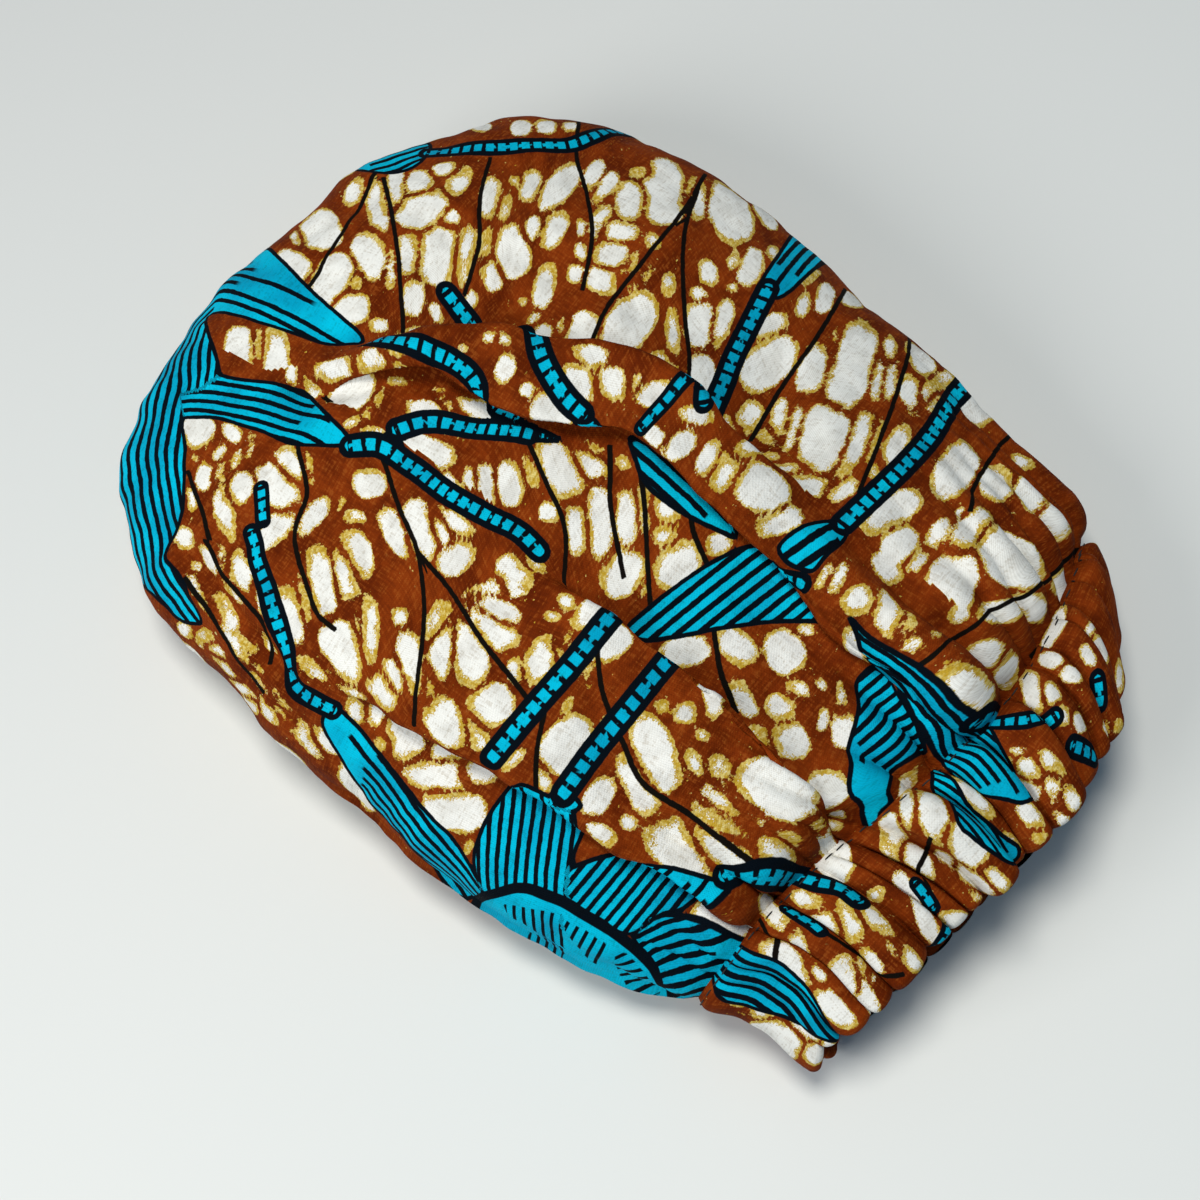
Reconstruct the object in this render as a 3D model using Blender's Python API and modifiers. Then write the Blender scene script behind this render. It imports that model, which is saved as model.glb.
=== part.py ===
"""A gathered cotton hair bonnet that lies on its side, as when it has been taken off and put down.

The mouth faces -Y, the crown's far end is at +Y, and the cloth rests on the plane Z = 0.
It has two pieces. The crown is a bag of cloth with four overlapping pleats on its upper side.
The gathered casing is a ruffled ring round the mouth, which holds the elastic.
All sizes below are in millimetres, and the meshes are built in metres.
"""
from collections import namedtuple

import bpy
import numpy as np

MM = 0.001

# The middle of the outline seen from above, which becomes the origin
CENTRE = (-1.2, 0.5)

# Cloth and seam
CLOTH_WALL = 1.4
SEAM_GAP = 0.8

# The gathers of the casing
RUFFLE_COUNT = 28
RUFFLE_HEIGHT = 4.6
RUFFLE_BASE = 0.4
RUFFLE_UNEVENNESS = 0.24
SCALLOP = 2.6
CASING_DEPTH = 4.2

# The broad gathers that run from the seam up into the crown
PUCKER_HEIGHT = 2.6
PUCKER_PITCH = 23.0
PUCKER_SLANT = 0.25
PUCKER_REACH = 44.0

# A slice across the bonnet, "at" a distance y along the crown or a share of the way along the casing.
# left and right are its edges seen from above, top its crest and belly the height of its widest level.
# sag is how far its underside would hang below the belly if the floor didn't flatten it.
Slice = namedtuple("Slice", "at left right top belly sag")
SIDE_ROUNDNESS = 2.3

CROWN_SLICES = [Slice(*row) for row in (
    (-114.0, -106.0, 84.0, 54.0, 21.0, 27.0),
    (-98.0, -113.0, 94.0, 62.0, 23.0, 29.0),
    (-60.0, -120.0, 105.0, 71.0, 26.0, 33.0),
    (-20.0, -123.0, 112.0, 77.0, 28.0, 36.0),
    (20.0, -120.0, 117.0, 79.0, 29.0, 37.0),
    (60.0, -116.0, 118.5, 76.0, 29.0, 37.0),
    (95.0, -110.0, 111.0, 69.0, 28.0, 36.0),
    (124.0, -99.0, 91.0, 60.0, 27.0, 32.0),
    (144.0, -81.0, 62.0, 50.0, 26.0, 24.0),
    (155.0, -58.0, 27.0, 39.0, 25.5, 14.0),
    (160.0, -34.0, -2.0, 31.0, 25.0, 6.0),
    (161.5, -19.0, -19.0, 25.0, 25.0, 0.0),
)]
CASING_SLICES = [Slice(*row) for row in (
    (0.0, -105.0, 84.0, 54.0, 21.0, 27.0),
    (0.3, -103.0, 81.5, 55.0, 22.0, 30.0),
    (0.7, -101.5, 76.0, 53.0, 22.0, 30.0),
    (1.0, -100.0, 67.0, 50.0, 21.0, 28.0),
)]

# The seam and the mouth's edge bend across the bonnet: y at even steps from its left to its right.
SEAM_Y = (-102.0, -104.0, -111.0, -121.0, -126.0, -124.0, -118.0)
EDGE_Y = (-139.5, -145.0, -151.0, -155.0, -157.0, -156.0, -137.0)
SEAM_BEND_REACH = 54.0

# The overlapping pleats of the upper side. Each edge follows a path of (y, x) points along the bonnet.
# over is the side that lies on top, step how high its lip stands and tuck how far it is pushed across.
# fade holds the slices where the pleat starts at its mouth end, is full, is full still and has ended.
Pleat = namedtuple("Pleat", "name over step tuck path fade")
PLEATS = [
    Pleat("outer_ridge", "left", 7.0, 6.0,
          ((-60, 36), (-18, 37), (22, 37), (48, 28), (72, 16), (96, -8), (120, -30)),
          (-48, -10, 78, 104)),
    Pleat("long_valley", "right", 9.5, 7.5,
          ((-114, 4), (-77, 5), (-45, 11), (-10, 15), (9, 15), (26, 6), (46, -2), (72, -4), (89, -17), (120, -44)),
          (-118, -98, 66, 106)),
    Pleat("box_pleat_right", "left", 8.0, 7.0,
          ((-114, -46), (-90, -41), (-69, -37), (-36, -36), (-1, -35), (30, -30)),
          (-118, -98, -22, 12)),
    Pleat("box_pleat_left", "right", 6.5, 6.0,
          ((-114, -78), (-73, -86), (-37, -90), (4, -94), (35, -98), (60, -101)),
          (-118, -92, 12, 44)),
]
LIP_HALF_WIDTH = 3.0
LIP_REACH = 26.0
VALLEY_SHARE = 0.25

# How finely the meshes are cut: rows between slices, and columns at each pleat's lip, between the
# pleats, on the underside and in each ruffle. Near the ends of the crown the lips' columns crowd.
ROWS_PER_SLICE = 3
LIP_COLUMNS = (-7.5, -3.4, -1.6, 0.0, 1.6, 3.4, 7.5)
PLAIN_COLUMNS = 4
OUTER_COLUMNS = 8
UNDER_COLUMNS = 15
COLUMNS_PER_RUFFLE = 6
CROWDING_HALF_WIDTH = 90.0
OUTLINE_SAMPLES = 400

# The casing's section as a closed loop of corners: share of the way from the seam to the mouth's edge,
# height outside the casing's oval, and how much of the ruffle it takes.
Corner = namedtuple("Corner", "share outside ruffled")
CASING_SECTION = [Corner(*row) for row in (
    (0.0, 0.0, 0.0),
    (0.16, RUFFLE_BASE, 0.75),
    (0.42, RUFFLE_BASE, 1.0),
    (0.72, RUFFLE_BASE, 1.0),
    (0.93, RUFFLE_BASE, 0.9),
    (1.0, -1.2, 0.5),
    (0.93, -CASING_DEPTH, 0.0),
    (0.5, -CASING_DEPTH, 0.0),
    (0.0, 1.0 - CASING_DEPTH, 0.0),
)]

COLOURS = {
    "printed_cloth": (0.30, 0.075, 0.022, 1.0),
    "casing_cloth": (0.33, 0.09, 0.03, 1.0),
}
CLOTH_ROUGHNESS = 0.85


def smooth_through(at, known_at, known):
    """A curve through the known values: cubic pieces whose slopes are those of their neighbours."""
    at, known_at, known = (np.asarray(values, float) for values in (at, known_at, known))
    slope = np.gradient(known, known_at)
    piece = np.clip(np.searchsorted(known_at, at, side="right") - 1, 0, len(known_at) - 2)
    span = known_at[piece + 1] - known_at[piece]
    t = np.clip((at - known_at[piece]) / span, 0.0, 1.0)
    start = (1 + 2 * t) * (1 - t) ** 2 * known[piece]
    end = t ** 2 * (3 - 2 * t) * known[piece + 1]
    leave = t * (1 - t) ** 2 * span * slope[piece]
    arrive = t ** 2 * (t - 1) * span * slope[piece + 1]
    return start + end + leave + arrive


def ease(at, low, high):
    """0 below low, 1 above high and a soft step between."""
    t = np.clip((np.asarray(at, float) - low) / (high - low), 0.0, 1.0)
    return t * t * (3 - 2 * t)


def share_across(x, cut):
    """0 at a slice's left edge and 1 at its right."""
    return np.clip((x - cut.left) / max(cut.right - cut.left, 1e-6), 0.0, 1.0)


def bent_y(table, share):
    """Where the seam or the mouth's edge lies at a share of the way across."""
    return smooth_through(share, np.linspace(0, 1, len(table)), table)


def slice_height(x, cut, upper):
    """Height of a slice's outline over x: a dome above the belly, and below it a bowl that the floor flattens."""
    middle = (cut.left + cut.right) / 2
    half = max((cut.right - cut.left) / 2, 1e-6)
    dome = np.clip(1 - np.abs((x - middle) / half) ** SIDE_ROUNDNESS, 0.0, 1.0) ** (1 / SIDE_ROUNDNESS)
    if upper:
        return cut.belly + (cut.top - cut.belly) * dome
    return np.maximum(cut.belly - cut.sag * dome, 0.0)


def crown_slices():
    """The crown's slices with steps between them, as long as the outline moves from one slice to the next."""
    table = np.array(CROWN_SLICES)
    half_width = (table[:, 2] - table[:, 1]) / 2
    moves = np.diff(np.stack([table[:, 0], half_width, table[:, 3]], axis=1), axis=0)
    along = np.concatenate([[0], np.cumsum(np.linalg.norm(moves, axis=1))])
    steps = np.arange(ROWS_PER_SLICE * (len(table) - 1)) / ROWS_PER_SLICE
    fine = np.interp(steps, np.arange(len(table)), along)
    return [Slice(*row) for row in np.stack([smooth_through(fine, along, column) for column in table.T], axis=1)]


def casing_slice(share):
    """The casing's slice at a share of the way from the seam to the mouth's edge."""
    table = np.array(CASING_SLICES)
    return Slice(*(float(smooth_through(share, table[:, 0], column)) for column in table.T))


def path_x(pleat, y):
    """Where a pleat's edge runs at y."""
    known_y, known_x = np.array(pleat.path, float).T
    return smooth_through(y, known_y, known_x)


def pleated(x, y, z, at):
    """Pushes the cloth across and lifts it beside each pleat's edge, so that its lip overlaps the cloth beyond."""
    for pleat in PLEATS:
        slope = (path_x(pleat, y + 1.0) - path_x(pleat, y - 1.0)) / 2.0
        slant = np.sqrt(1 + slope ** 2)
        across = (x - path_x(pleat, y)) / slant
        turn = np.tanh(across / LIP_HALF_WIDTH)
        starts, full, full_still, ended = pleat.fade
        amount = ease(at, starts, full) * (1 - ease(at, full_still, ended)) * np.exp(-np.abs(across) / LIP_REACH)
        on_top = -turn if pleat.over == "left" else turn
        shift = -pleat.tuck * amount * turn
        lift = pleat.step * amount * (np.maximum(on_top, 0.0) - VALLEY_SHARE * np.maximum(-on_top, 0.0))
        x, y, z = x + shift / slant, y - shift * slope / slant, z + lift
    return x, y, z


def pucker(x, y, cut):
    """Broad gathers of the crown's upper side, which run out from the seam and die away."""
    fading = 1 - ease(cut.at, CROWN_SLICES[0].at, CROWN_SLICES[0].at + PUCKER_REACH)
    wave = np.sin(2 * np.pi * (x - PUCKER_SLANT * y) / PUCKER_PITCH + 1.1 * np.sin(x / 17.0))
    return PUCKER_HEIGHT * fading * wave * np.sin(np.pi * share_across(x, cut))


def upper_columns(cut):
    """Where the columns cross the upper side: close together at each pleat's edge and even between them."""
    middle, half = (cut.left + cut.right) / 2, max((cut.right - cut.left) / 2, 1e-6)
    crowding = min(1.0, half / CROWDING_HALF_WIDTH)
    outermost = half * 0.9
    edges = np.clip(sorted(float(path_x(pleat, cut.at)) for pleat in PLEATS), middle - outermost, middle + outermost)
    for i in range(1, len(edges)):
        edges[i] = max(edges[i], edges[i - 1] + 2 * LIP_COLUMNS[-1] * crowding)
    edges = edges - max(edges[-1] - (middle + outermost), 0.0)
    turns = [-1.0]
    for edge in edges:
        lip = np.arcsin(np.clip((edge + crowding * np.array(LIP_COLUMNS) - middle) / half, -1, 1)) * 2 / np.pi
        turns += list(np.linspace(turns[-1], lip[0], PLAIN_COLUMNS + 1)[1:-1]) + list(lip)
    turns += list(np.linspace(turns[-1], 1.0, OUTER_COLUMNS + 1)[1:])
    return middle + half * np.sin(np.array(turns) * np.pi / 2)


def crown_grid():
    """Rows of points round the crown, from the seam to the far end, and that end's single point."""
    first = CROWN_SLICES[0]
    rows = []
    for cut in crown_slices():
        upper = upper_columns(cut)
        turns = np.linspace(1, -1, UNDER_COLUMNS + 2)[1:-1]
        under = (cut.left + cut.right) / 2 + (cut.right - cut.left) / 2 * np.sin(turns * np.pi / 2)
        bend = 1 - ease(cut.at, first.at, first.at + SEAM_BEND_REACH)
        upper_y, under_y = (cut.at + bend * (bent_y(SEAM_Y, share_across(x, cut)) - first.at) for x in (upper, under))
        x, y, z = pleated(upper, upper_y, slice_height(upper, cut, True), cut.at)
        z = z + pucker(x, y, cut)
        top_row = np.stack([x, y, z], axis=1)
        rows.append(np.vstack([top_row, np.stack([under, under_y, slice_height(under, cut, False)], axis=1)]))
    end = CROWN_SLICES[-1]
    return np.array(rows), np.array([end.left, end.at, end.top])


def gather_positions():
    """The columns' shares of the way round, crowded and spread so that no two gathers are equally wide, and the
    ruffle at each: 0 in the valleys between the gathers and about 1 on their ridges."""
    even = np.arange(RUFFLE_COUNT * COLUMNS_PER_RUFFLE) / (RUFFLE_COUNT * COLUMNS_PER_RUFFLE)
    turn = 2 * np.pi * even
    uneven = np.sin(5 * turn + 0.4) / 5 + np.sin(8 * turn + 2.1) / 8 + np.sin(13 * turn + 4.0) / 13
    height = 0.74 + 0.17 * np.sin(3 * turn + 0.7) + 0.15 * np.sin(11 * turn)
    swell = (0.5 - 0.5 * np.cos(RUFFLE_COUNT * turn)) ** 0.8
    return even + RUFFLE_UNEVENNESS * uneven / (2 * np.pi), height * swell


def casing_oval(share, round_share):
    """One oval of the casing: its points at the given shares of the way round, their outward directions in x
    and z, and its slice."""
    cut = casing_slice(share)
    turns = np.linspace(-1, 1, OUTLINE_SAMPLES)
    x = (cut.left + cut.right) / 2 + (cut.right - cut.left) / 2 * np.sin(turns * np.pi / 2)
    back = x[::-1][1:]
    loop_x = np.concatenate([x, back])
    loop_z = np.concatenate([slice_height(x, cut, True), slice_height(back, cut, False)])
    along = np.concatenate([[0], np.cumsum(np.hypot(np.diff(loop_x), np.diff(loop_z)))])
    at = np.asarray(round_share) % 1.0 * along[-1]
    x, z = np.interp(at, along, loop_x), np.interp(at, along, loop_z)
    step_x, step_z = np.roll(x, -1) - np.roll(x, 1), np.roll(z, -1) - np.roll(z, 1)
    length = np.hypot(step_x, step_z)
    return x, z, -step_z / length, step_x / length, cut


def casing_grid():
    """The casing as a loft of its section round the mouth: one row for each corner of the section."""
    round_share, gathers = gather_positions()
    rows = []
    for corner in CASING_SECTION:
        x, z, out_x, out_z, cut = casing_oval(corner.share, round_share)
        offset = corner.outside + RUFFLE_HEIGHT * corner.ruffled * gathers
        across = share_across(x, cut)
        y = (1 - corner.share) * (bent_y(SEAM_Y, across) - SEAM_GAP) + corner.share * bent_y(EDGE_Y, across)
        y = y - SCALLOP * corner.share ** 4 * gathers
        rows.append(np.stack([x + out_x * offset, y, np.maximum(z + out_z * offset, 0.0)], axis=1))
    return np.array(rows)[:, ::-1]


def loop_faces(rows, columns, closed_rows):
    """Quads of a grid that closes round its columns and, where asked, from its last row to its first."""
    faces = []
    for i in range(rows if closed_rows else rows - 1):
        here, there = i * columns, (i + 1) % rows * columns
        for j in range(columns):
            beside = (j + 1) % columns
            faces.append((here + j, here + beside, there + beside, there + j))
    return faces


def cloth_material(name):
    made = bpy.data.materials.new(name)
    made.use_nodes = True
    shader = made.node_tree.nodes["Principled BSDF"]
    shader.inputs["Base Color"].default_value = COLOURS[name]
    shader.inputs["Roughness"].default_value = CLOTH_ROUGHNESS
    shader.inputs["Metallic"].default_value = 0.0
    return made


def add_piece(name, points, faces, finish, collection):
    """A smooth-shaded object from points in millimetres, moved so that the bonnet's middle is at the origin."""
    placed = (points - np.array([*CENTRE, 0.0])) * MM
    mesh = bpy.data.meshes.new(name)
    mesh.from_pydata([tuple(point) for point in placed], [], faces)
    mesh.materials.append(cloth_material(finish))
    mesh.shade_smooth()
    piece = bpy.data.objects.new(name, mesh)
    collection.objects.link(piece)
    return piece


def build_crown(collection):
    rows, end = crown_grid()
    count, columns = rows.shape[:2]
    faces = loop_faces(count, columns, closed_rows=False)
    last, tip = (count - 1) * columns, count * columns
    faces += [(last + j, last + (j + 1) % columns, tip) for j in range(columns)]
    crown = add_piece("crown", np.vstack([rows.reshape(-1, 3), end]), faces, "printed_cloth", collection)
    wall = crown.modifiers.new("cloth wall", "SOLIDIFY")
    wall.thickness = CLOTH_WALL * MM
    wall.offset = -1.0
    wall.use_rim = True


def build_casing(collection):
    rows = casing_grid()
    count, columns = rows.shape[:2]
    faces = loop_faces(count, columns, closed_rows=True)
    add_piece("gathered_casing", rows.reshape(-1, 3), faces, "casing_cloth", collection)


def main():
    for old in list(bpy.data.objects):
        bpy.data.objects.remove(old)
    collection = bpy.data.collections.new("hair_bonnet")
    bpy.context.scene.collection.children.link(collection)
    build_crown(collection)
    build_casing(collection)


main()
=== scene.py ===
# %% [markdown]
# # A gathered hair bonnet in printed cotton
#
# A hair bonnet is a puffed bag of thin cotton with a ruffled casing round its mouth, which holds wide
# elastic. This one lies on its side on a pale table. The lesson builds its cloth as grids of points, lays
# a wax print on it, and lights it as in the photograph.
#
# Sizes are in millimetres until a mesh is made. Blender's own units are metres.

# %% [markdown] ## Setting up  The packed model has two plain solids, the crown and the gathered casing.
# Given a material as they are, they couldn't show gathers.

# %% Setting up
import math
from collections import namedtuple

import bpy
import numpy as np
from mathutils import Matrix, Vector


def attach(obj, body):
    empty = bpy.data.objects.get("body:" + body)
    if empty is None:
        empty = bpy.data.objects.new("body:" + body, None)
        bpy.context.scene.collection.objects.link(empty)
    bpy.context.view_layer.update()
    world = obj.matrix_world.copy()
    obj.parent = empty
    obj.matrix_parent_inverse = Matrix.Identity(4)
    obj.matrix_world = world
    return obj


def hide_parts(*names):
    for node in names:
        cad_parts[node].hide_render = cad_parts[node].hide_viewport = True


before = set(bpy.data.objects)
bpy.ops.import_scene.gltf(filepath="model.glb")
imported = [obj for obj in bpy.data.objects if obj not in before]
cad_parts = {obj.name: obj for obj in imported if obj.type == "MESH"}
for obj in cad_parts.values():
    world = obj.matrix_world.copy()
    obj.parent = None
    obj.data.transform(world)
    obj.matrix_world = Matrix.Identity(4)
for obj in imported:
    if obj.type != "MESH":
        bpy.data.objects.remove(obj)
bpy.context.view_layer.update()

# The tables below have their own zero. The frame's origin lies at this point of them.
CENTRE = np.array([-1.2, 0.5, 0.0])
MM = 0.001


# %% [markdown]
# ## The camera's place
#
# The photograph looks down steeply from the near left. A camera is often placed last, by eye. Here the
# print is laid out in the photograph's pixels, so the camera comes first.

# %% The camera's place
PHOTO_SIZE = 1200
CAMERA_AZIMUTH = math.radians(-54.0)
CAMERA_ELEVATION = math.radians(74.0)
CAMERA_LENS = 70.0
CAMERA_SENSOR = 36.0
CAMERA_DISTANCE = 735.0
LOOK_AT = np.array([-23.5, -6.0, 40.0]) - CENTRE
PIXEL_SLOPE = CAMERA_SENSOR / CAMERA_LENS / PHOTO_SIZE

view_back = np.array([
    math.sin(CAMERA_AZIMUTH) * math.cos(CAMERA_ELEVATION),
    -math.cos(CAMERA_AZIMUTH) * math.cos(CAMERA_ELEVATION),
    math.sin(CAMERA_ELEVATION),
])
view_right = np.cross(-view_back, [0.0, 0.0, 1.0])
view_right = view_right / np.linalg.norm(view_right)
view_up = np.cross(view_right, -view_back)
camera_place = LOOK_AT + view_back * CAMERA_DISTANCE


def to_photo(points):
    """Pixels of the photograph for points in millimetres: sideways and upward parts over the depth."""
    away = points - camera_place
    depth = -(away @ view_back)
    across = PHOTO_SIZE / 2 + (away @ view_right) / depth / PIXEL_SLOPE
    down = PHOTO_SIZE / 2 - (away @ view_up) / depth / PIXEL_SLOPE
    return np.stack([across, down], axis=-1)


print("the bonnet's middle falls on pixel", to_photo(np.zeros(3)).round(), "of", PHOTO_SIZE)

# %% [markdown]
# ## The bonnet's form
#
# The real bag is a gathered oval of cotton that air and folds hold up. Cloth simulation could puff it,
# but would land elsewhere than in the photograph. So the form is a table of slices: place along the
# bonnet, left and right edges, heights of the top and of the widest part, and the sag below it.

# %% Slices, seam and mouth
Slice = namedtuple("Slice", "at left right top belly sag")
CROWN_SLICES = np.array([
    (-114.0, -106.0, 84.0, 54.0, 21.0, 27.0),
    (-98.0, -113.0, 94.0, 62.0, 23.0, 29.0),
    (-60.0, -120.0, 105.0, 71.0, 26.0, 33.0),
    (-20.0, -123.0, 112.0, 77.0, 28.0, 36.0),
    (20.0, -120.0, 117.0, 79.0, 29.0, 37.0),
    (60.0, -116.0, 118.5, 76.0, 29.0, 37.0),
    (95.0, -110.0, 111.0, 69.0, 28.0, 36.0),
    (124.0, -99.0, 91.0, 60.0, 27.0, 32.0),
    (144.0, -81.0, 62.0, 50.0, 26.0, 24.0),
    (155.0, -58.0, 27.0, 39.0, 25.5, 14.0),
    (160.0, -34.0, -2.0, 31.0, 25.0, 6.0),
    (161.5, -19.0, -19.0, 25.0, 25.0, 0.0),
])

# The casing's slices lie at shares of the way from the seam to the mouth's edge.
CASING_SLICES = np.array([
    (0.0, -105.0, 84.0, 54.0, 21.0, 27.0),
    (0.3, -103.0, 81.5, 55.0, 22.0, 30.0),
    (0.7, -101.5, 76.0, 53.0, 22.0, 30.0),
    (1.0, -100.0, 67.0, 50.0, 21.0, 28.0),
])
SEAM_Y = (-102.0, -104.0, -111.0, -121.0, -126.0, -124.0, -118.0)
EDGE_Y = (-139.5, -145.0, -151.0, -155.0, -157.0, -156.0, -137.0)
SEAM_BEND_REACH = 54.0
print(len(CROWN_SLICES), "slices over", np.ptp(CROWN_SLICES[:, 0]), "mm")

# %% [markdown]
# ## Curves through tables
#
# A few rows of numbers become a smooth surface through these helpers. A spline object would do it too,
# but plain formulas work on whole arrays at once.

# %% Curves through tables
def smooth_through(at, known_at, known):
    """A curve through the known values: cubic pieces whose slopes are those of their neighbours."""
    at, known_at, known = (np.asarray(values, float) for values in (at, known_at, known))
    slope = np.gradient(known, known_at)
    piece = np.clip(np.searchsorted(known_at, at, side="right") - 1, 0, len(known_at) - 2)
    span = known_at[piece + 1] - known_at[piece]
    t = np.clip((at - known_at[piece]) / span, 0.0, 1.0)
    start = (1 + 2 * t) * (1 - t) ** 2 * known[piece]
    end = t ** 2 * (3 - 2 * t) * known[piece + 1]
    leave = t * (1 - t) ** 2 * span * slope[piece]
    arrive = t ** 2 * (t - 1) * span * slope[piece + 1]
    return start + end + leave + arrive


def ease(at, low, high):
    """0 below low, 1 above high and a soft step between: three squares less two cubes."""
    t = np.clip((np.asarray(at, float) - low) / (high - low), 0.0, 1.0)
    return t * t * (3 - 2 * t)


def share_across(x, cut):
    """0 at a slice's left edge and 1 at its right."""
    return np.clip((x - cut.left) / np.maximum(cut.right - cut.left, 1e-6), 0.0, 1.0)


def bent_y(table, share):
    """Where the seam or the mouth's edge lies at a share of the way across."""
    return smooth_through(share, np.linspace(0, 1, len(table)), table)


print("a quarter of the way across, the seam lies at y =", round(float(bent_y(SEAM_Y, 0.25)), 1), "mm")

# %% [markdown]
# ## The outline of a slice
#
# Cut across, the bag is a cushion: domed on top, and flat where it rests. Half an ellipse would be too thin
# at its sides. A power a little above 2 gives it fuller shoulders, and the same dome hangs below.

# %% The outline of a slice
SIDE_ROUNDNESS = 2.3


def dome(x, cut):
    """1 over the middle of a slice and 0 at its edges: what is left of 1 after x to a power, to its root."""
    half = np.maximum((cut.right - cut.left) / 2, 1e-6)
    aside = np.abs((x - (cut.left + cut.right) / 2) / half) ** SIDE_ROUNDNESS
    return np.clip(1 - aside, 0.0, 1.0) ** (1 / SIDE_ROUNDNESS)


def upper_height(x, cut):
    """The belly's height at the edges, and the top's over the middle."""
    return cut.belly + (cut.top - cut.belly) * dome(x, cut)


def under_height(x, cut):
    """The belly's height at the edges, sagging towards the middle until it rests on the table."""
    return np.maximum(cut.belly - cut.sag * dome(x, cut), 0.0)


widest = Slice(*CROWN_SLICES[4])
print("the widest slice is", round(float(upper_height(0.0, widest)), 1), "mm high at x = 0")

# %% [markdown]
# ## Pleats that overlap
#
# Four pleats run along the crown. A sheet that doubles back would be truest, but is hard to print on. So
# the grid is pushed: on one side of a pleat's edge the cloth is lifted and drawn over the other side,
# which is what shows from above.

# %% Pleats that overlap
Pleat = namedtuple("Pleat", "name over step tuck path fade")
PLEATS = [
    Pleat("outer_ridge", "left", 7.0, 6.0,
          ((-60, 36), (-18, 37), (22, 37), (48, 28), (72, 16), (96, -8), (120, -30)),
          (-48, -10, 78, 104)),
    Pleat("long_valley", "right", 9.5, 7.5,
          ((-114, 4), (-77, 5), (-45, 11), (-10, 15), (9, 15), (26, 6), (46, -2), (72, -4), (89, -17),
           (120, -44)),
          (-118, -98, 66, 106)),
    Pleat("box_pleat_right", "left", 8.0, 7.0,
          ((-114, -46), (-90, -41), (-69, -37), (-36, -36), (-1, -35), (30, -30)),
          (-118, -98, -22, 12)),
    Pleat("box_pleat_left", "right", 6.5, 6.0,
          ((-114, -78), (-73, -86), (-37, -90), (4, -94), (35, -98), (60, -101)),
          (-118, -92, 12, 44)),
]
LIP_HALF_WIDTH = 3.0
LIP_REACH = 26.0
VALLEY_SHARE = 0.25


def path_x(pleat, y):
    """Where a pleat's edge runs at y: a curve through the y and x of its path."""
    known_y, known_x = np.array(pleat.path, float).T
    return smooth_through(y, known_y, known_x)


def pleat_amount(pleat, at):
    """How much of a pleat there is at each slice, from 0 to 1: it fades in and out along the bonnet."""
    starts, full, full_still, ended = pleat.fade
    return ease(at, starts, full) * (1 - ease(at, full_still, ended))


def pleated(x, y, z, at):
    """Pushes the cloth across and lifts it beside each pleat's edge, so that its lip overlaps the cloth
    beyond. Both follow the hyperbolic tangent of the distance to the edge and die out away from it."""
    for pleat in PLEATS:
        slope = (path_x(pleat, y + 1.0) - path_x(pleat, y - 1.0)) / 2.0
        slant = np.sqrt(1 + slope ** 2)
        across = (x - path_x(pleat, y)) / slant
        turn = np.tanh(across / LIP_HALF_WIDTH)
        amount = pleat_amount(pleat, at) * np.exp(-np.abs(across) / LIP_REACH)
        on_top = -turn if pleat.over == "left" else turn
        shift = -pleat.tuck * amount * turn
        lift = pleat.step * amount * (np.maximum(on_top, 0.0) - VALLEY_SHARE * np.maximum(-on_top, 0.0))
        x, y, z = x + shift / slant, y - shift * slope / slant, z + lift
    return x, y, z


for pleat in PLEATS:
    print(pleat.name, "lies over the", pleat.over, "side and passes x =", path_x(pleat, 0.0).round(1), "mm")

# %% [markdown]
# ## Soft noise
#
# Real cotton is never quite flat. Noise textures could displace the mesh, but a sum of a few plane waves
# does it in the same arrays, and alike at every run.

# %% Soft noise
WAVE_COUNT = 9
WAVE_STRETCHES = (0.7, 1.4)


def ripple(x, y, pitch, seed):
    """Smooth noise of about unit height: a sum of plane waves in fixed random directions."""
    random = np.random.default_rng(seed)
    turns, phases = random.uniform(0, np.pi, WAVE_COUNT), random.uniform(0, 2 * np.pi, WAVE_COUNT)
    total = 0.0
    for turn, phase, stretch in zip(turns, phases, random.uniform(*WAVE_STRETCHES, WAVE_COUNT)):
        total = total + np.sin(2 * np.pi * stretch * (x * np.cos(turn) + y * np.sin(turn)) / pitch + phase)
    return total / math.sqrt(WAVE_COUNT)


print("soft noise at three places:", ripple(np.array([0.0, 20.0, 40.0]), np.zeros(3), 46.0, 3).round(2))

# %% [markdown]
# ## The gathers
#
# Elastic and thread draw a long edge of cloth into a short one, and what is left over stands up in folds.
# Cloth simulation could do it, but a table of folds is quicker and can be fitted to the photograph. Each
# fold has its own width, height, lean, skew and reach into the crown.

# %% The folds' own sizes
FOLD_COUNT = 36
FOLD_WIDTHS = (0.45, 1.55)
FOLD_HEIGHTS = (0.72, 1.15)
FOLD_SKEWS = (0.75, 1.35)
FOLD_REACHES = (13.0, 52.0)
SEAM_LENGTH = 400.0

fold_random = np.random.default_rng(31)
fold_width = fold_random.uniform(*FOLD_WIDTHS, FOLD_COUNT)
fold_ends = np.concatenate([[0.0], np.cumsum(fold_width)]) / fold_width.sum()
fold_span = fold_width / fold_width.sum() * SEAM_LENGTH
fold_height = fold_width ** 0.5 * fold_random.uniform(*FOLD_HEIGHTS, FOLD_COUNT)
fold_lean = fold_random.uniform(-1.0, 1.0, FOLD_COUNT)
fold_skew = fold_random.uniform(*FOLD_SKEWS, FOLD_COUNT)
fold_reach = fold_random.uniform(*FOLD_REACHES, FOLD_COUNT) * fold_width ** 0.4
print(FOLD_COUNT, "folds, from", fold_span.min().round(1), "to", fold_span.max().round(1), "mm wide")

# %% [markdown]
# ## The shape of a fold
#
# A plain sine wave looks like corrugated iron. A gather's ridge is round and its valley sharp. So a fold
# is half a sine wave to a power below 1, pushed out at its sides over the valley.

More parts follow.
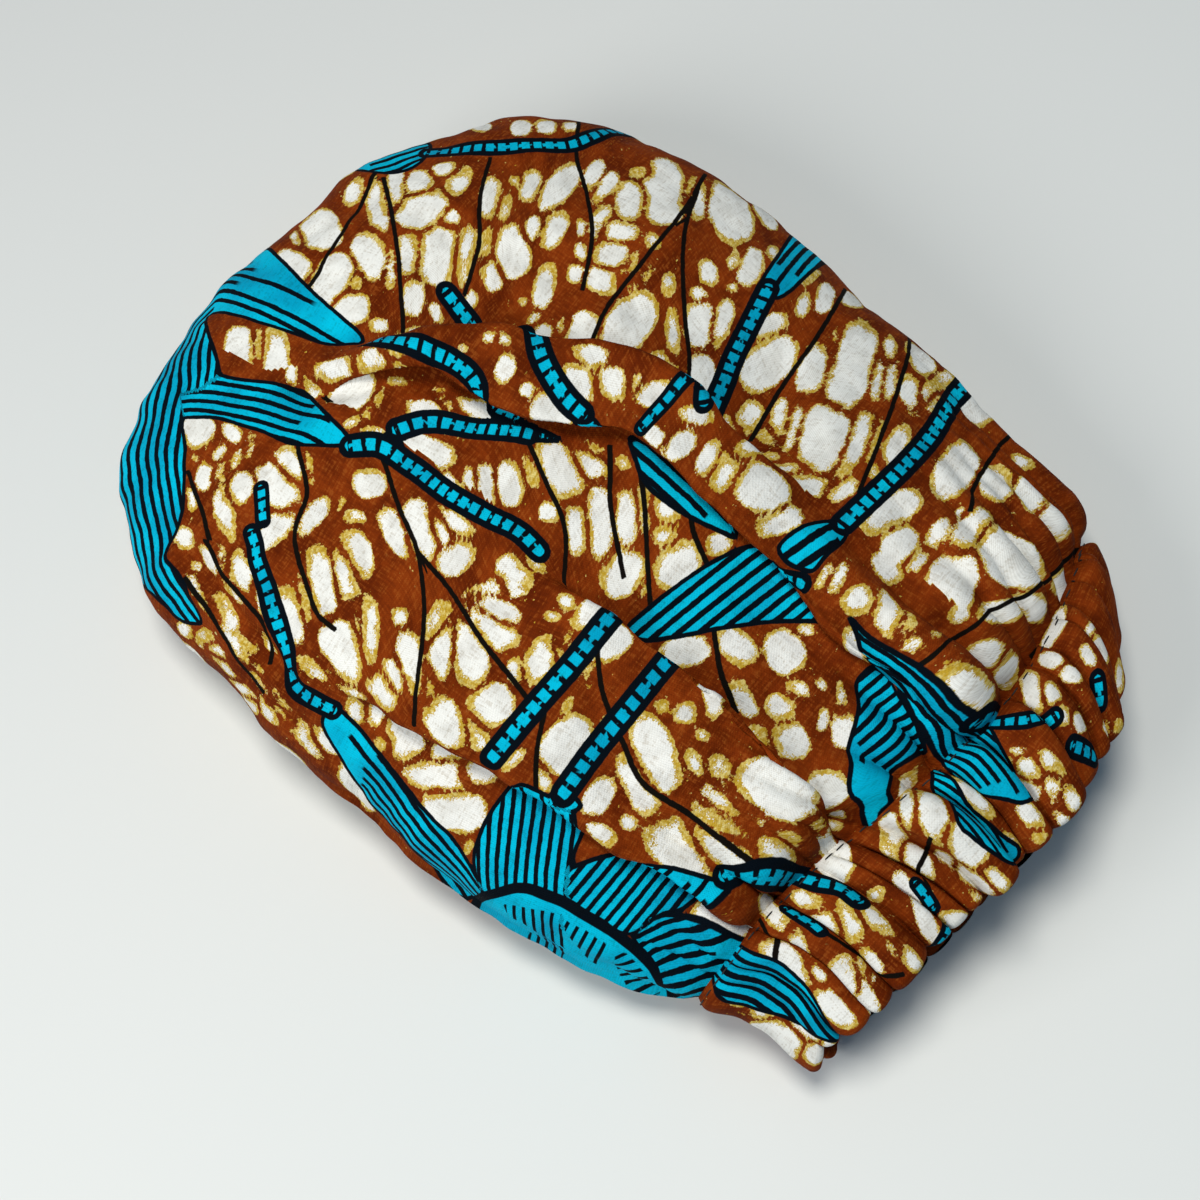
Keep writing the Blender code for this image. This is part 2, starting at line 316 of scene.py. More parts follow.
# %% The shape of a fold
FOLD_HEIGHT = 7.4
FOLD_SHARPNESS = 0.62
FOLD_BULGE = 0.13
FOLD_LEAN = 3.4
HEIGHT_SWAY = 0.12
WANDERS = ((0.006, 3, 1.0), (0.0035, 7, 2.0))
WANDER_REACH = 20.0
SOFTENING = (4.0, 34.0)
VALLEY_LEVEL = 0.38
SEAM_HEIGHT_SHARE = 0.55
SEAM_RISE = 9.0
CALM_SHARE = 0.35
CALM_REACH = 0.20


def gather(share, past):
    """Height of the folds, 0 to about 1, how far their sides are carried along the seam, and how far each
    reaches into the crown: half a sine wave to a power, and for the sides a whole sine wave."""
    turn = 2 * np.pi * share
    wander = sum(size * np.sin(count * turn + phase) for size, count, phase in WANDERS) * past / WANDER_REACH
    at = (share + wander) % 1.0
    fold = np.clip(np.searchsorted(fold_ends, at, side="right") - 1, 0, FOLD_COUNT - 1)
    within = (at - fold_ends[fold]) / (fold_ends[fold + 1] - fold_ends[fold])
    within = np.clip(within, 0.0, 1.0) ** fold_skew[fold]
    softer = ease(-past, *SOFTENING)
    ridge = np.sin(np.pi * within) ** (FOLD_SHARPNESS + softer)
    height = ridge * fold_height[fold] * (1.0 + HEIGHT_SWAY * np.sin(5 * turn + past / 9.0))
    bulge = -FOLD_BULGE * fold_span[fold] * np.sin(2 * np.pi * within)
    aside = bulge + FOLD_LEAN * fold_lean[fold] * ridge ** 2
    return height, aside * (1 - softer), fold_reach[fold]


def seam_share(past, across):
    """How much of their height the folds have: less near the seam and at the left side, by soft steps."""
    calm = CALM_SHARE + (1 - CALM_SHARE) * ease(across, 0.0, CALM_REACH)
    return calm * (SEAM_HEIGHT_SHARE + (1 - SEAM_HEIGHT_SHARE) * ease(past, 0.0, SEAM_RISE))


ridge_heights = FOLD_HEIGHT * gather(np.linspace(0, 1, 2000), 30.0)[0]
print("30 mm past the seam the highest fold stands", ridge_heights.max().round(1), "mm above its valleys")

# %% [markdown]
# ## The oval of the mouth
#
# The casing follows an oval with a flat underside. Points spaced by angle would crowd at its ends, so
# they are spaced by length along it.

# %% The oval of the mouth
OVAL_SAMPLES = 1200
SHORT_STEP = 0.6


def slice_at(table, along, at):
    """A table's slice at each value of at, measured along the given positions of its rows."""
    return Slice(*(smooth_through(at, along, column) for column in table.T))


def sampled_x(cut, count):
    """Values of x from a slice's left edge to its right, closer together near the edges, as a sine runs."""
    turns = np.linspace(-1, 1, count)
    return (cut.left + cut.right) / 2 + (cut.right - cut.left) / 2 * np.sin(turns * np.pi / 2)


def oval(cut, round_share):
    """Points of a slice's outline at shares of the way round, from the left edge over the top, their outward
    directions, each a short step along the outline turned by a right angle, and the outline's length."""
    x = sampled_x(cut, OVAL_SAMPLES)
    back = x[::-1][1:]
    loop_x = np.concatenate([x, back])
    loop_z = np.concatenate([upper_height(x, cut), under_height(back, cut)])
    along = np.concatenate([[0], np.cumsum(np.hypot(np.diff(loop_x), np.diff(loop_z)))])
    at = np.asarray(round_share) % 1.0 * along[-1]
    place, ahead, behind = [
        np.stack([np.interp(where, along, loop_x), np.interp(where, along, loop_z)])
        for where in (at, (at + SHORT_STEP) % along[-1], (at - SHORT_STEP) % along[-1])]
    step_x, step_z = ahead - behind
    length = np.hypot(step_x, step_z)
    return place[0], place[1], -step_z / length, step_x / length, along[-1]


print("the slack mouth measures", round(oval(Slice(*CASING_SLICES[-1]), 0.0)[-1]), "mm round")

# %% [markdown]
# ## The crown's rows
#
# The crown is the bag itself. A sculpted mesh would hold its folds too, but the print can follow a grid
# of rows from the seam to the far end. Rows are as far apart as the crest between them is long.

# %% The crown's rows
CROWN_ROWS = 236
CHART_SLOPE_SHARE = 0.85

# Each array of a cloth is a grid: places, places on the flat cloth, places for the material's noise, the
# lane between pleats, and whether a point is on the upper side.
Cloth = namedtuple("Cloth", "points flat rest lane upper")


def crown_rows():
    """Slices of the crown, closely spaced where its outline turns, and how far along its crest each lies."""
    half_width = (CROWN_SLICES[:, 2] - CROWN_SLICES[:, 1]) / 2
    moves = np.diff(np.stack([CROWN_SLICES[:, 0], half_width, CROWN_SLICES[:, 3]], axis=1), axis=0)
    along = np.concatenate([[0], np.cumsum(np.linalg.norm(moves, axis=1))])
    cut = slice_at(CROWN_SLICES, along, np.linspace(0, along[-1], CROWN_ROWS + 1)[:-1])
    climb = np.hypot(np.diff(cut.at), np.diff(cut.top)) * CHART_SLOPE_SHARE
    crest = cut.at[0] + np.concatenate([[0], np.cumsum(np.maximum(np.abs(np.diff(cut.at)), climb))])
    return Slice(*(column[:, None] for column in cut)), crest[:, None]


crown_cuts, crown_crest = crown_rows()
print(CROWN_ROWS, "rows, and the crest of the flat cloth is", round(float(np.ptp(crown_crest))), "mm long")

# %% [markdown]
# ## Columns round the crown
#
# Each row is one slice: its upper side, then its underside. Even columns would be too coarse where a
# pleat folds over, so a weight draws them together there.

# %% Columns round the crown
UPPER_COLUMNS = 316
UNDER_COLUMNS = 84
SLICE_SAMPLES = 900
CROWDING = 1.5
CROWD_WIDTH = 6.0


def spread_columns(x, steps, count):
    """For each row, count values of x with the same length of steps between them."""
    lengths = np.linalg.norm(steps, axis=0)
    total = np.concatenate([np.zeros((len(x), 1)), np.cumsum(lengths, axis=1)], axis=1)
    return np.stack([np.interp(np.linspace(0, t[-1], count), t, row) for t, row in zip(total, x)])


def crown_columns(cut):
    """x and height of the points round each slice, from left to right on top and back underneath. Steps
    near a pleat count for more, by a bell curve of the distance to it."""
    x = sampled_x(cut, SLICE_SAMPLES)
    crowd = np.ones(x.shape)
    for pleat in PLEATS:
        away = (x - path_x(pleat, cut.at)) / CROWD_WIDTH
        crowd = crowd + CROWDING * pleat_amount(pleat, cut.at) * np.exp(-away ** 2)
    between = (crowd[:, 1:] + crowd[:, :-1]) / 2
    top_steps = np.stack([np.diff(x, axis=1), np.diff(upper_height(x, cut), axis=1)])
    under_steps = np.stack([np.diff(x, axis=1), np.diff(under_height(x, cut), axis=1)])
    upper = spread_columns(x, top_steps * between, UPPER_COLUMNS)
    under = spread_columns(x, under_steps, UNDER_COLUMNS + 2)[:, ::-1][:, 1:-1]
    z = np.concatenate([upper_height(upper, cut), under_height(under, cut)], axis=1)
    return np.concatenate([upper, under], axis=1), z


crown_x, crown_z = crown_columns(crown_cuts)
print("a row has", UPPER_COLUMNS, "points on top and", UNDER_COLUMNS, "underneath")

# %% [markdown]
# ## The flat cloth
#
# How the real cloth was cut can't be seen. A UV unwrap could flatten the bag, but its islands would cut
# the print. Unrolling each slice from its middle hides the one cut on the underside.

# %% The flat cloth
def unrolled(x, z):
    """How far along the flat cloth each point of a row lies: as x is on top, and as the slope is on the
    sides. A step is the longer of the step in x and most of the step along the slope."""
    run, rise = np.diff(x, axis=1), np.diff(z, axis=1)
    steps = np.maximum(np.abs(run), CHART_SLOPE_SHARE * np.hypot(run, rise))
    along = np.concatenate([np.zeros((len(x), 1)), np.cumsum(steps, axis=1)], axis=1)
    middle = x.shape[1] // 2
    return along - along[:, middle:middle + 1] + x[:, middle:middle + 1]


def flat_across(x, z):
    """How far across the flat cloth each point lies. The underside is carried on from both edges of the
    top, and the two halves part in its middle."""
    top = unrolled(x[:, :UPPER_COLUMNS], z[:, :UPPER_COLUMNS])
    order = np.concatenate([np.arange(UPPER_COLUMNS - 1, x.shape[1]), [0]])
    side = unrolled(x[:, order], z[:, order])
    side = side - side[:, :1] + top[:, -1:]
    around = side[:, -1:] - top[:, :1]
    side = np.where(side > (top[:, -1:] + side[:, -1:]) / 2, side - around, side)
    return np.concatenate([top, side[:, 1:-1]], axis=1)


flat_x = flat_across(crown_x, crown_z)
print("the flat cloth is", round(float(np.ptp(flat_x))), "mm across")

# %% [markdown]
# ## Creases
#
# Handling leaves soft dents and ridges. They could be brushed on in sculpt mode, which a script can't
# repeat. So each is a line of the photograph's pixels, with a height in millimetres, below 0 for a
# valley, and half a width.

# %% Creases read from the photograph
Crease = namedtuple("Crease", "height half_width path")
CREASES = [
    Crease(-4.0, 4.6, ((300, 386), (345, 387), (385, 377), (425, 377))),
    Crease(3.2, 5.0, ((312, 372), (350, 364), (385, 354), (420, 354))),
    Crease(1.9, 3.2, ((172, 560), (205, 602), (240, 650), (292, 702))),
    Crease(-1.8, 3.0, ((186, 548), (222, 592), (262, 642), (300, 690))),
    Crease(1.6, 3.2, ((203, 540), (240, 586), (280, 640), (306, 680))),
    Crease(-1.4, 3.6, ((240, 640), (300, 720), (360, 790))),
    Crease(-1.8, 6.0, ((505, 300), (540, 325), (600, 345), (650, 380))),
    Crease(1.6, 8.0, ((600, 330), (650, 352), (700, 380))),
    Crease(1.8, 5.0, ((216, 537), (245, 530), (275, 521))),
    Crease(-1.8, 5.0, ((222, 545), (250, 540), (280, 528))),
    Crease(1.5, 9.0, ((455, 500), (520, 560), (590, 640), (640, 700))),
    Crease(-1.4, 8.0, ((335, 500), (400, 590), (470, 660))),
    Crease(1.3, 8.0, ((700, 420), (770, 500), (850, 590), (930, 660))),
    Crease(-1.6, 7.0, ((880, 560), (960, 640), (1015, 700))),
    Crease(1.8, 6.0, ((940, 520), (1000, 575), (1050, 610))),
    Crease(-1.8, 6.0, ((700, 700), (770, 750), (840, 800))),
    Crease(1.6, 7.0, ((640, 720), (720, 790), (800, 850))),
    Crease(-1.5, 6.0, ((610, 790), (690, 850), (760, 900))),
    Crease(-2.2, 5.0, ((865, 640), (895, 700), (930, 760))),
    Crease(2.0, 6.0, ((900, 640), (940, 690), (985, 735))),
]

# Soft noise on top of them: height, pitch and seed.
CRUMPLES = ((0.9, 46.0, 3), (0.45, 21.0, 5), (0.16, 9.0, 8))
CREASE_RESTS = (1.0, 16.0)


def outward(points):
    """Unit normals of a grid that closes round its columns: the cross product of its two directions."""
    around = np.roll(points, -1, axis=1) - np.roll(points, 1, axis=1)
    along = np.gradient(points, axis=0)
    normal = np.cross(around, along)
    return normal / np.maximum(np.linalg.norm(normal, axis=-1, keepdims=True), 1e-9)


def distance_to_path(points, path):
    """Distance from each point to a polyline in its plane: the least of the distances to its pieces."""
    nearest = np.full(points.shape[:-1], np.inf)
    for a, b in zip(path[:-1], path[1:]):
        step = b - a
        t = np.clip(((points - a) @ step) / max(step @ step, 1e-9), 0.0, 1.0)
        nearest = np.minimum(nearest, np.linalg.norm(points - a - t[..., None] * step, axis=-1))
    return nearest


def crumpled(points, is_upper):
    """Moves the cloth along its normals: soft noise everywhere, and on the upper side the creases, each a
    bell curve of the distance to its path."""
    x, y = points[..., 0], points[..., 1]
    depth = sum(height * ripple(x, y, pitch, seed) for height, pitch, seed in CRUMPLES)
    pixels = to_photo(points - CENTRE)
    mm_to_pixels = 1 / (CAMERA_DISTANCE * PIXEL_SLOPE)
    for crease in CREASES:
        away = distance_to_path(pixels, np.array(crease.path, float)) / mm_to_pixels
        bell = crease.height * np.exp(-(away / crease.half_width) ** 2)
        depth = depth + np.where(is_upper, bell, 0.0)
    resting = ease(points[..., 2], *CREASE_RESTS)
    return points + outward(points) * (depth * resting)[..., None]


print(len(CREASES), "creases, the deepest", min(crease.height for crease in CREASES), "mm")

# %% [markdown]
# ## Where the gathers die out
#
# Every fold of the seam fades in the crown after its own distance, and the crown puffs up just past the
# seam. Modifiers could do each in turn. One function moves the grid along its normals for all of them.

# %% The gathers on the crown
PUFF = 2.2
PUFF_AT = 11.0
PUFF_WIDTH = 9.0
SEAM_PINCH = 1.5
SEAM_PINCH_WIDTH = 2.6
FADE_POWER = 1.5
FADE_END = (60.0, 95.0)
GATHER_RESTS = (0.5, 10.0)
TUCK_UNDER_CASING = 2.6
TUCK_DEPTH = 1.6
TUCK_REACH = 2.2
SEAM_SAMPLES = 2400


def seam_shares(first, cut, x, z):
    """Which share of the way round the seam has the same angle as each point of the crown, once the slice
    is scaled to the seam's size."""
    shares = np.linspace(0, 1, SEAM_SAMPLES, endpoint=False)
    loop_x, loop_z = oval(first, shares)[:2]
    seam_turn = np.unwrap(np.arctan2(loop_z - first.belly, loop_x - (first.left + first.right) / 2))
    scale = (first.right - first.left) / np.maximum(cut.right - cut.left, 1e-6)
    rise = (first.top - first.belly) / np.maximum(cut.top - cut.belly, 1e-6)
    turn = np.arctan2((z - cut.belly) * rise, (x - (cut.left + cut.right) / 2) * scale)
    turn = np.where(turn > seam_turn.max(), turn - 2 * np.pi, turn)
    turn = np.where(turn < seam_turn.min(), turn + 2 * np.pi, turn)
    return np.interp(turn, seam_turn[::-1], shares[::-1])


def puckered(points, cut, x, z):
    """The gathers' far ends, and the cloth's edge drawn in under the casing. Each fold fades as a bell
    curve of the distance past the seam over its own reach."""
    first = Slice(*(column[0, 0] for column in cut))
    past = cut.at - cut.at[0]
    swell, aside, reach = gather(seam_shares(first, cut, x, z), -past)
    across = share_across(x, cut)
    fading = np.exp(-(past / reach) ** FADE_POWER) * (1 - ease(past, *FADE_END)) * seam_share(past, across)
    height = FOLD_HEIGHT * fading * (swell - VALLEY_LEVEL)
    puff = ease(across, 0.0, CALM_REACH) * PUFF * np.exp(-((past - PUFF_AT) / PUFF_WIDTH) ** 2)
    pinch = -SEAM_PINCH * np.exp(-(past / SEAM_PINCH_WIDTH) ** 2)
    resting = ease(z, *GATHER_RESTS)
    normal = outward(points)
    around = np.roll(points, -1, axis=1) - np.roll(points, 1, axis=1)
    around = around / np.maximum(np.linalg.norm(around, axis=-1, keepdims=True), 1e-9)
    moved = points + normal * ((height + puff + pinch) * resting)[..., None]
    moved = moved + around * (aside * fading * resting)[..., None]
    tucked = 1 - ease(past, 0.0, TUCK_REACH)
    moved[..., 1] = moved[..., 1] - TUCK_UNDER_CASING * tucked
    return moved - normal * (TUCK_DEPTH * tucked * resting)[..., None]


print("the folds reach from", fold_reach.min().round(), "to", fold_reach.max().round(), "mm into the crown")

# %% [markdown]
# ## The crown put together
#
# Slices, pleats, creases and gathers could be modifiers on a mesh, one after another. As arrays they fit
# in one function. The table comes last, so that nothing sinks into it.

# %% The crown put together
HIDDEN_CLOTH = 14.0


def crown_cloth(cut, crest, x, z):
    """The crown's grid. A pleat hides a strip of cloth, so the material's noise jumps by it there."""
    bend = 1 - ease(cut.at, cut.at[0], cut.at[0] + SEAM_BEND_REACH)
    y = cut.at + bend * (bent_y(SEAM_Y, share_across(x, cut)) - cut.at[0])
    is_upper = np.zeros(x.shape, bool)
    is_upper[:, :UPPER_COLUMNS] = True

    beyond = [x > path_x(pleat, y) for pleat in PLEATS]
    lane = sum(right.astype(int) for right in beyond)
    hidden = sum(HIDDEN_CLOTH * pleat_amount(pleat, cut.at) * right for pleat, right in zip(PLEATS, beyond))
    rest = np.stack([x + np.where(is_upper, hidden, 0.0), y, z], axis=-1)
    flat = np.stack([flat_x, crest + (y - cut.at)], axis=-1)

    smooth = np.stack([x, y, z], axis=-1)
    folded = np.stack(pleated(x, y, z, cut.at), axis=-1)
    points = crumpled(np.where(is_upper[..., None], folded, smooth), is_upper)
    points = puckered(points, cut, x, z)
    points[..., 2] = np.maximum(points[..., 2], 0.0)
    return Cloth(points, flat, rest, lane, is_upper)


crown = crown_cloth(crown_cuts, crown_crest, crown_x, crown_z)
crown_end = Slice(*CROWN_SLICES[-1])
crown_tip = np.array([crown_end.left, crown_end.at, crown_end.top])
rows, columns = crown.points.shape[:2]
print("the crown's grid is", rows, "by", columns, "and", crown.points[..., 2].max().round(1), "mm high")

# %% [markdown]
# ## The casing's section
#
# The casing is the turned-in hem round the mouth. A tube with a wave on it would look like a spring. So
# its section is a closed loop: ruffled outside, rolled over at the mouth's edge, and smooth inside, where
# the elastic pulls it flat.

# %% The casing's section
CASING_WIDTH = 38.0
OUTER_STEPS = 34
OUTER_SHARE = 0.965
OUTER_LIFT = 0.4
OUTER_RUFFLES = (1.0, 0.12)
CASING_BULGE = 2.4
BULGE_POWER = 0.7
ROLL_STEPS = 12
ROLL_SHARE = 0.045
ROLL_RUFFLES = (0.55, 0.45)
HEM_ROLL = 2.1
INNER_STEPS = 12
INNER_STARTS = 0.95
INNER_LEVEL = 0.9
INNER_RUFFLES = (0.35, 0.10)
CASING_DEPTH = 4.6


def casing_section():
    """A closed loop: share of the way to the edge, height outside the oval, and how much of the folds it
    has. The outer side bulges as half a sine wave, and the roll is half a circle."""
    steps = np.linspace(0, 1, OUTER_STEPS)
    share = steps * OUTER_SHARE
    pinch = SEAM_PINCH * np.exp(-(steps * CASING_WIDTH / SEAM_PINCH_WIDTH) ** 2)
    outside = OUTER_LIFT + CASING_BULGE * np.sin(np.pi * steps ** BULGE_POWER) - pinch
    ruffled = OUTER_RUFFLES[0] + OUTER_RUFFLES[1] * steps

    turns = np.linspace(0, np.pi, ROLL_STEPS + 2)[1:-1]
    roll_share = share[-1] + ROLL_SHARE * np.sin(turns)
    roll_outside = outside[-1] - HEM_ROLL * (1 - np.cos(turns))
    roll_ruffled = ruffled[-1] * (ROLL_RUFFLES[0] + ROLL_RUFFLES[1] * np.cos(turns / 2))

    inner_share = np.linspace(INNER_STARTS, 0.0, INNER_STEPS)
    inner_outside = np.where(inner_share > INNER_LEVEL, roll_outside[-1], -CASING_DEPTH)
    inner_ruffled = np.where(inner_share > INNER_LEVEL, *INNER_RUFFLES)
    return (np.concatenate([share, roll_share, inner_share]),
            np.concatenate([outside, roll_outside, inner_outside]),
            np.concatenate([ruffled, roll_ruffled, inner_ruffled]))


print("the casing's section is a loop of", len(casing_section()[0]), "points")

# %% [markdown]
# ## The casing's grid
#
# A curve's bevel could sweep the section round the oval, with folds all alike. Here each point of the
# section makes one row, and the gathers that run into the crown lift it.

# %% The casing's grid
CASING_COLUMNS = 720
SCALLOP = 4.4
LEFT_DRAW_IN = 5.5
LEFT_REACH = 0.3
DRAW_IN_STARTS = (0.0, 0.4)
DRAW_IN_ENDS = (0.55, 1.0)
SEAM_OVERLAP = 0.4
CASING_REST = 40.0
TABLE_CLEARANCE = 6.0

# The casing's lane, where the crown's are 0 to 4 between its pleats
HEM = 5


def casing_row(round_share, share, outside, ruffled):
    """One row round the casing: the oval moved outwards by the folds, and sideways where they lean. At its
    left end the casing is drawn in, and its edge is scalloped by the folds."""
    cut = Slice(*(float(value) for value in slice_at(CASING_SLICES, CASING_SLICES[:, 0], share)))
    x, z, out_x, out_z, _ = oval(cut, round_share)
    across = share_across(x, cut)
    swell, aside, _ = gather(round_share, share * CASING_WIDTH)
    folded = ruffled * seam_share(share * CASING_WIDTH, across)
    offset = outside + FOLD_HEIGHT * folded * (swell - VALLEY_LEVEL)
    aside = aside * folded
    drawn_in = ease(share, *DRAW_IN_STARTS) * (1 - ease(share, *DRAW_IN_ENDS))
    x = x + LEFT_DRAW_IN * (1 - ease(across, 0.0, LEFT_REACH)) * drawn_in
    y = (1 - share) * (bent_y(SEAM_Y, across) - SEAM_OVERLAP) + share * bent_y(EDGE_Y, across)
    y = y - SCALLOP * share ** 4 * swell
    x, z = x + out_x * offset + out_z * aside, z + out_z * offset - out_x * aside
    return np.stack([x, y, np.maximum(z, 0.0)], axis=1)


def casing_cloth():
    """The casing's grid. Its flat strip is as long as the outer rows' mean, and cut open underneath."""
    round_share = np.arange(CASING_COLUMNS) / CASING_COLUMNS
    points = np.array([casing_row(round_share, *of_row) for of_row in zip(*casing_section())])[:, ::-1]
    round_steps = np.linalg.norm(np.roll(points, -1, axis=1) - points, axis=-1)
    middle_steps = round_steps[:OUTER_STEPS].mean(axis=0)
    around = np.cumsum(middle_steps) - middle_steps
    around[:CASING_COLUMNS // 4] += middle_steps.sum()
    depth_steps = np.linalg.norm(np.diff(points, axis=0), axis=-1).mean(axis=1)
    down = np.concatenate([[0], np.cumsum(depth_steps)])
    flat = np.stack(np.broadcast_arrays(around[None, :], -down[:, None]), axis=-1)
    rest = np.concatenate([flat, np.full(flat.shape[:2] + (1,), CASING_REST)], axis=-1)
    upper = np.zeros(points.shape[:2], bool)
    upper[:OUTER_STEPS + ROLL_STEPS // 2] = True
    upper &= points[..., 2] > TABLE_CLEARANCE
    return Cloth(points, flat, rest, np.full(points.shape[:2], HEM), upper)


casing = casing_cloth()
strip_length = round(float(np.ptp(casing.flat[..., 0])))
print("the casing's grid is", casing.points.shape[:2], "and its flat strip", strip_length, "mm long")

# %% [markdown]
# ## Faces of a grid
#
# A grid's faces are squares between neighbouring points. Its ends could be welded afterwards, but
# counting round, so that the last column joins the first, leaves nothing to weld.

# %% Faces of a grid
def grid_faces(rows, columns, closed_rows=False):
    """The corners of each square of a grid that closes round its columns, and round its rows if asked."""
    i = np.arange(rows if closed_rows else rows - 1)[:, None]
    j = np.arange(columns)[None, :]
    here, there, beside = i * columns, (i + 1) % rows * columns, (j + 1) % columns
    return np.stack([here + j, here + beside, there + beside, there + j], axis=-1).reshape(-1, 4)


print("a grid of 3 rows and 4 columns has", len(grid_faces(3, 4)), "squares, the last", grid_faces(3, 4)[-1])

# %% [markdown]
# ## The stitches
#
# Where the casing meets the crown, a dark thread shows as short dashes, because each stitch dips through
# the cloth. A curve with a bevel could be cut into dashes, but small capsules laid on the casing's own
# grid follow every fold.

# %% The stitches
STITCH_COUNT = 92
STITCH_ROW = 1.7
STITCH_LENGTH = 3.1
STITCH_RADIUS = 0.27
STITCH_SINK = 0.08
STITCH_CLEARANCE = 1.6
STITCH_RINGS = 7
STITCH_SIDES = 8
STITCH_TAPER = 0.985
STITCH_BLUNTNESS = 0.6


def grid_point(points, row, column):
    """A place between a grid's points: straight between rows and between columns, which close round."""
    low, left = int(row), int(column)
    down, aside = row - low, column - left
    here, beside = left % points.shape[1], (left + 1) % points.shape[1]
    upper_row = points[low, here] * (1 - aside) + points[low, beside] * aside
    lower_row = points[low + 1, here] * (1 - aside) + points[low + 1, beside] * aside
    return upper_row * (1 - down) + lower_row * down


def stitches(casing_points):
    """A capsule for each stitch that is clear of the table: rings along it, with a circle's radii to a
    power below 1, for blunt ends."""
    normals = outward(casing_points)
    count = casing_points.shape[1]
    ends = np.cos(np.linspace(np.pi, 0, STITCH_RINGS))
    girth = np.sqrt(1 - (STITCH_TAPER * ends) ** 2) ** STITCH_BLUNTNESS
    spin = np.arange(STITCH_SIDES) * 2 * np.pi / STITCH_SIDES
    points, quads = [], []
    for stitch in range(STITCH_COUNT):
        column = count * (stitch + 0.5) / STITCH_COUNT
        before, middle, after = (grid_point(casing_points, STITCH_ROW, column + k) for k in (-1, 0, 1))
        if middle[2] < STITCH_CLEARANCE:
            continue
        along = (after - before) / np.linalg.norm(after - before)
        normal = grid_point(normals, STITCH_ROW, column)
        normal = normal - along * (normal @ along)
        normal = normal / np.linalg.norm(normal)
        side = np.cross(along, normal)
        ring = normal[None] * np.sin(spin)[:, None] + side[None] * np.cos(spin)[:, None]
        spine = middle + normal * (STITCH_RADIUS - STITCH_SINK) + along * (ends * STITCH_LENGTH / 2)[:, None]
        quads.append(grid_faces(STITCH_RINGS, STITCH_SIDES) + len(points) * STITCH_RINGS * STITCH_SIDES)
        points.append((spine[:, None] + ring[None] * (girth * STITCH_RADIUS)[:, None, None]).reshape(-1, 3))
    return np.concatenate(points), np.concatenate(quads)


stitch_points, stitch_quads = stitches(casing.points)
stitches_made = len(stitch_points) // (STITCH_RINGS * STITCH_SIDES)
print(stitches_made, "of", STITCH_COUNT, "stitches are clear of the table")

# %% [markdown]
# ## The print: ladders and veins
#
# The cotton is a wax print: a brown ground with white cells, and turquoise limbs, petals and ladders
# edged in ink. An image texture could carry it, but drawn shapes stay sharp from near and need no file.
# Motifs are drawn in the photograph's pixels and pinned to the flat cloth, to turn and hide with it.
#
# Lanes are the strips of cloth between the pleats, from 0 left of them all to 4 right of them all, and 5
# is the casing. A motif names the lanes that it shows on, so that it ends where a pleat hides it. Ladders
# come first: a path and half a width in millimetres. Veins, the thin dark lines on the brown, are paths too.

# %% Lanes, ladders and veins
LEFT, BOX, VALLEY, RIDGE, FAR = range(5)
CROWN = (LEFT, BOX, VALLEY, RIDGE, FAR)
MIDDLE = (LEFT, BOX, VALLEY)
RIGHT = (RIDGE, FAR)

Ladder = namedtuple("Ladder", "lanes half_width path")
LADDERS = [
    Ladder(CROWN, 2.9, ((428, 153), (486, 147), (538, 145), (581, 141), (619, 132), (650, 137))),
    Ladder((FAR, RIDGE, VALLEY), 3.1, ((447, 293), (460, 310), (474, 330))),
    Ladder((RIDGE, VALLEY), 2.8,
        ((368, 342), (391, 339), (423, 346), (451, 361), (477, 388), (496, 405), (516, 415))),
    Ladder(RIGHT, 3.1, ((524, 335), (545, 365), (566, 398), (582, 414))),
    Ladder((VALLEY, BOX), 2.7, ((397, 430), (424, 422), (479, 429), (514, 431), (530, 434))),
    Ladder(MIDDLE, 3.0,
        ((350, 446), (377, 445), (409, 465), (446, 492), (486, 515), (521, 533), (539, 551))),
    Ladder((LEFT, BOX), 2.2, ((261, 488), (263, 520))),
    Ladder((LEFT, BOX), 2.6,
        ((251, 533), (257, 560), (268, 591), (278, 625), (286, 654), (297, 686), (318, 703), (333, 710))),
    Ladder((BOX,), 3.5, ((612, 614), (575, 660), (535, 706), (493, 757))),
    Ladder((BOX,), 3.5, ((672, 658), (633, 703), (596, 749), (564, 793))),
    Ladder(RIGHT, 3.3, ((768, 288), (749, 326), (734, 356), (722, 387), (711, 412))),
    Ladder(RIGHT, 2.6, ((704, 402), (684, 397), (661, 406), (642, 427))),
    Ladder(RIGHT, 3.4, ((843, 524), (875, 494), (910, 460), (933, 433), (949, 406), (968, 376))),
    Ladder(RIGHT, 2.8, ((738, 550), (768, 564), (800, 584))),
    Ladder((RIDGE, FAR, HEM), 2.6, ((978, 724), (1004, 722), (1026, 720), (1056, 716))),
    Ladder((*MIDDLE, HEM), 3.2, ((724, 876), (764, 878), (818, 882), (845, 889), (858, 899))),
    Ladder((HEM,), 2.0, ((787, 909), (802, 917), (820, 930))),
    Ladder((HEM,), 2.6, ((949, 928), (942, 942), (932, 956))),
    Ladder((HEM,), 2.8, ((1098, 680), (1100, 702))),
    Ladder((HEM,), 2.8, ((1074, 746), (1094, 756))),
    Ladder((HEM,), 1.9, ((917, 884), (933, 908))),
]
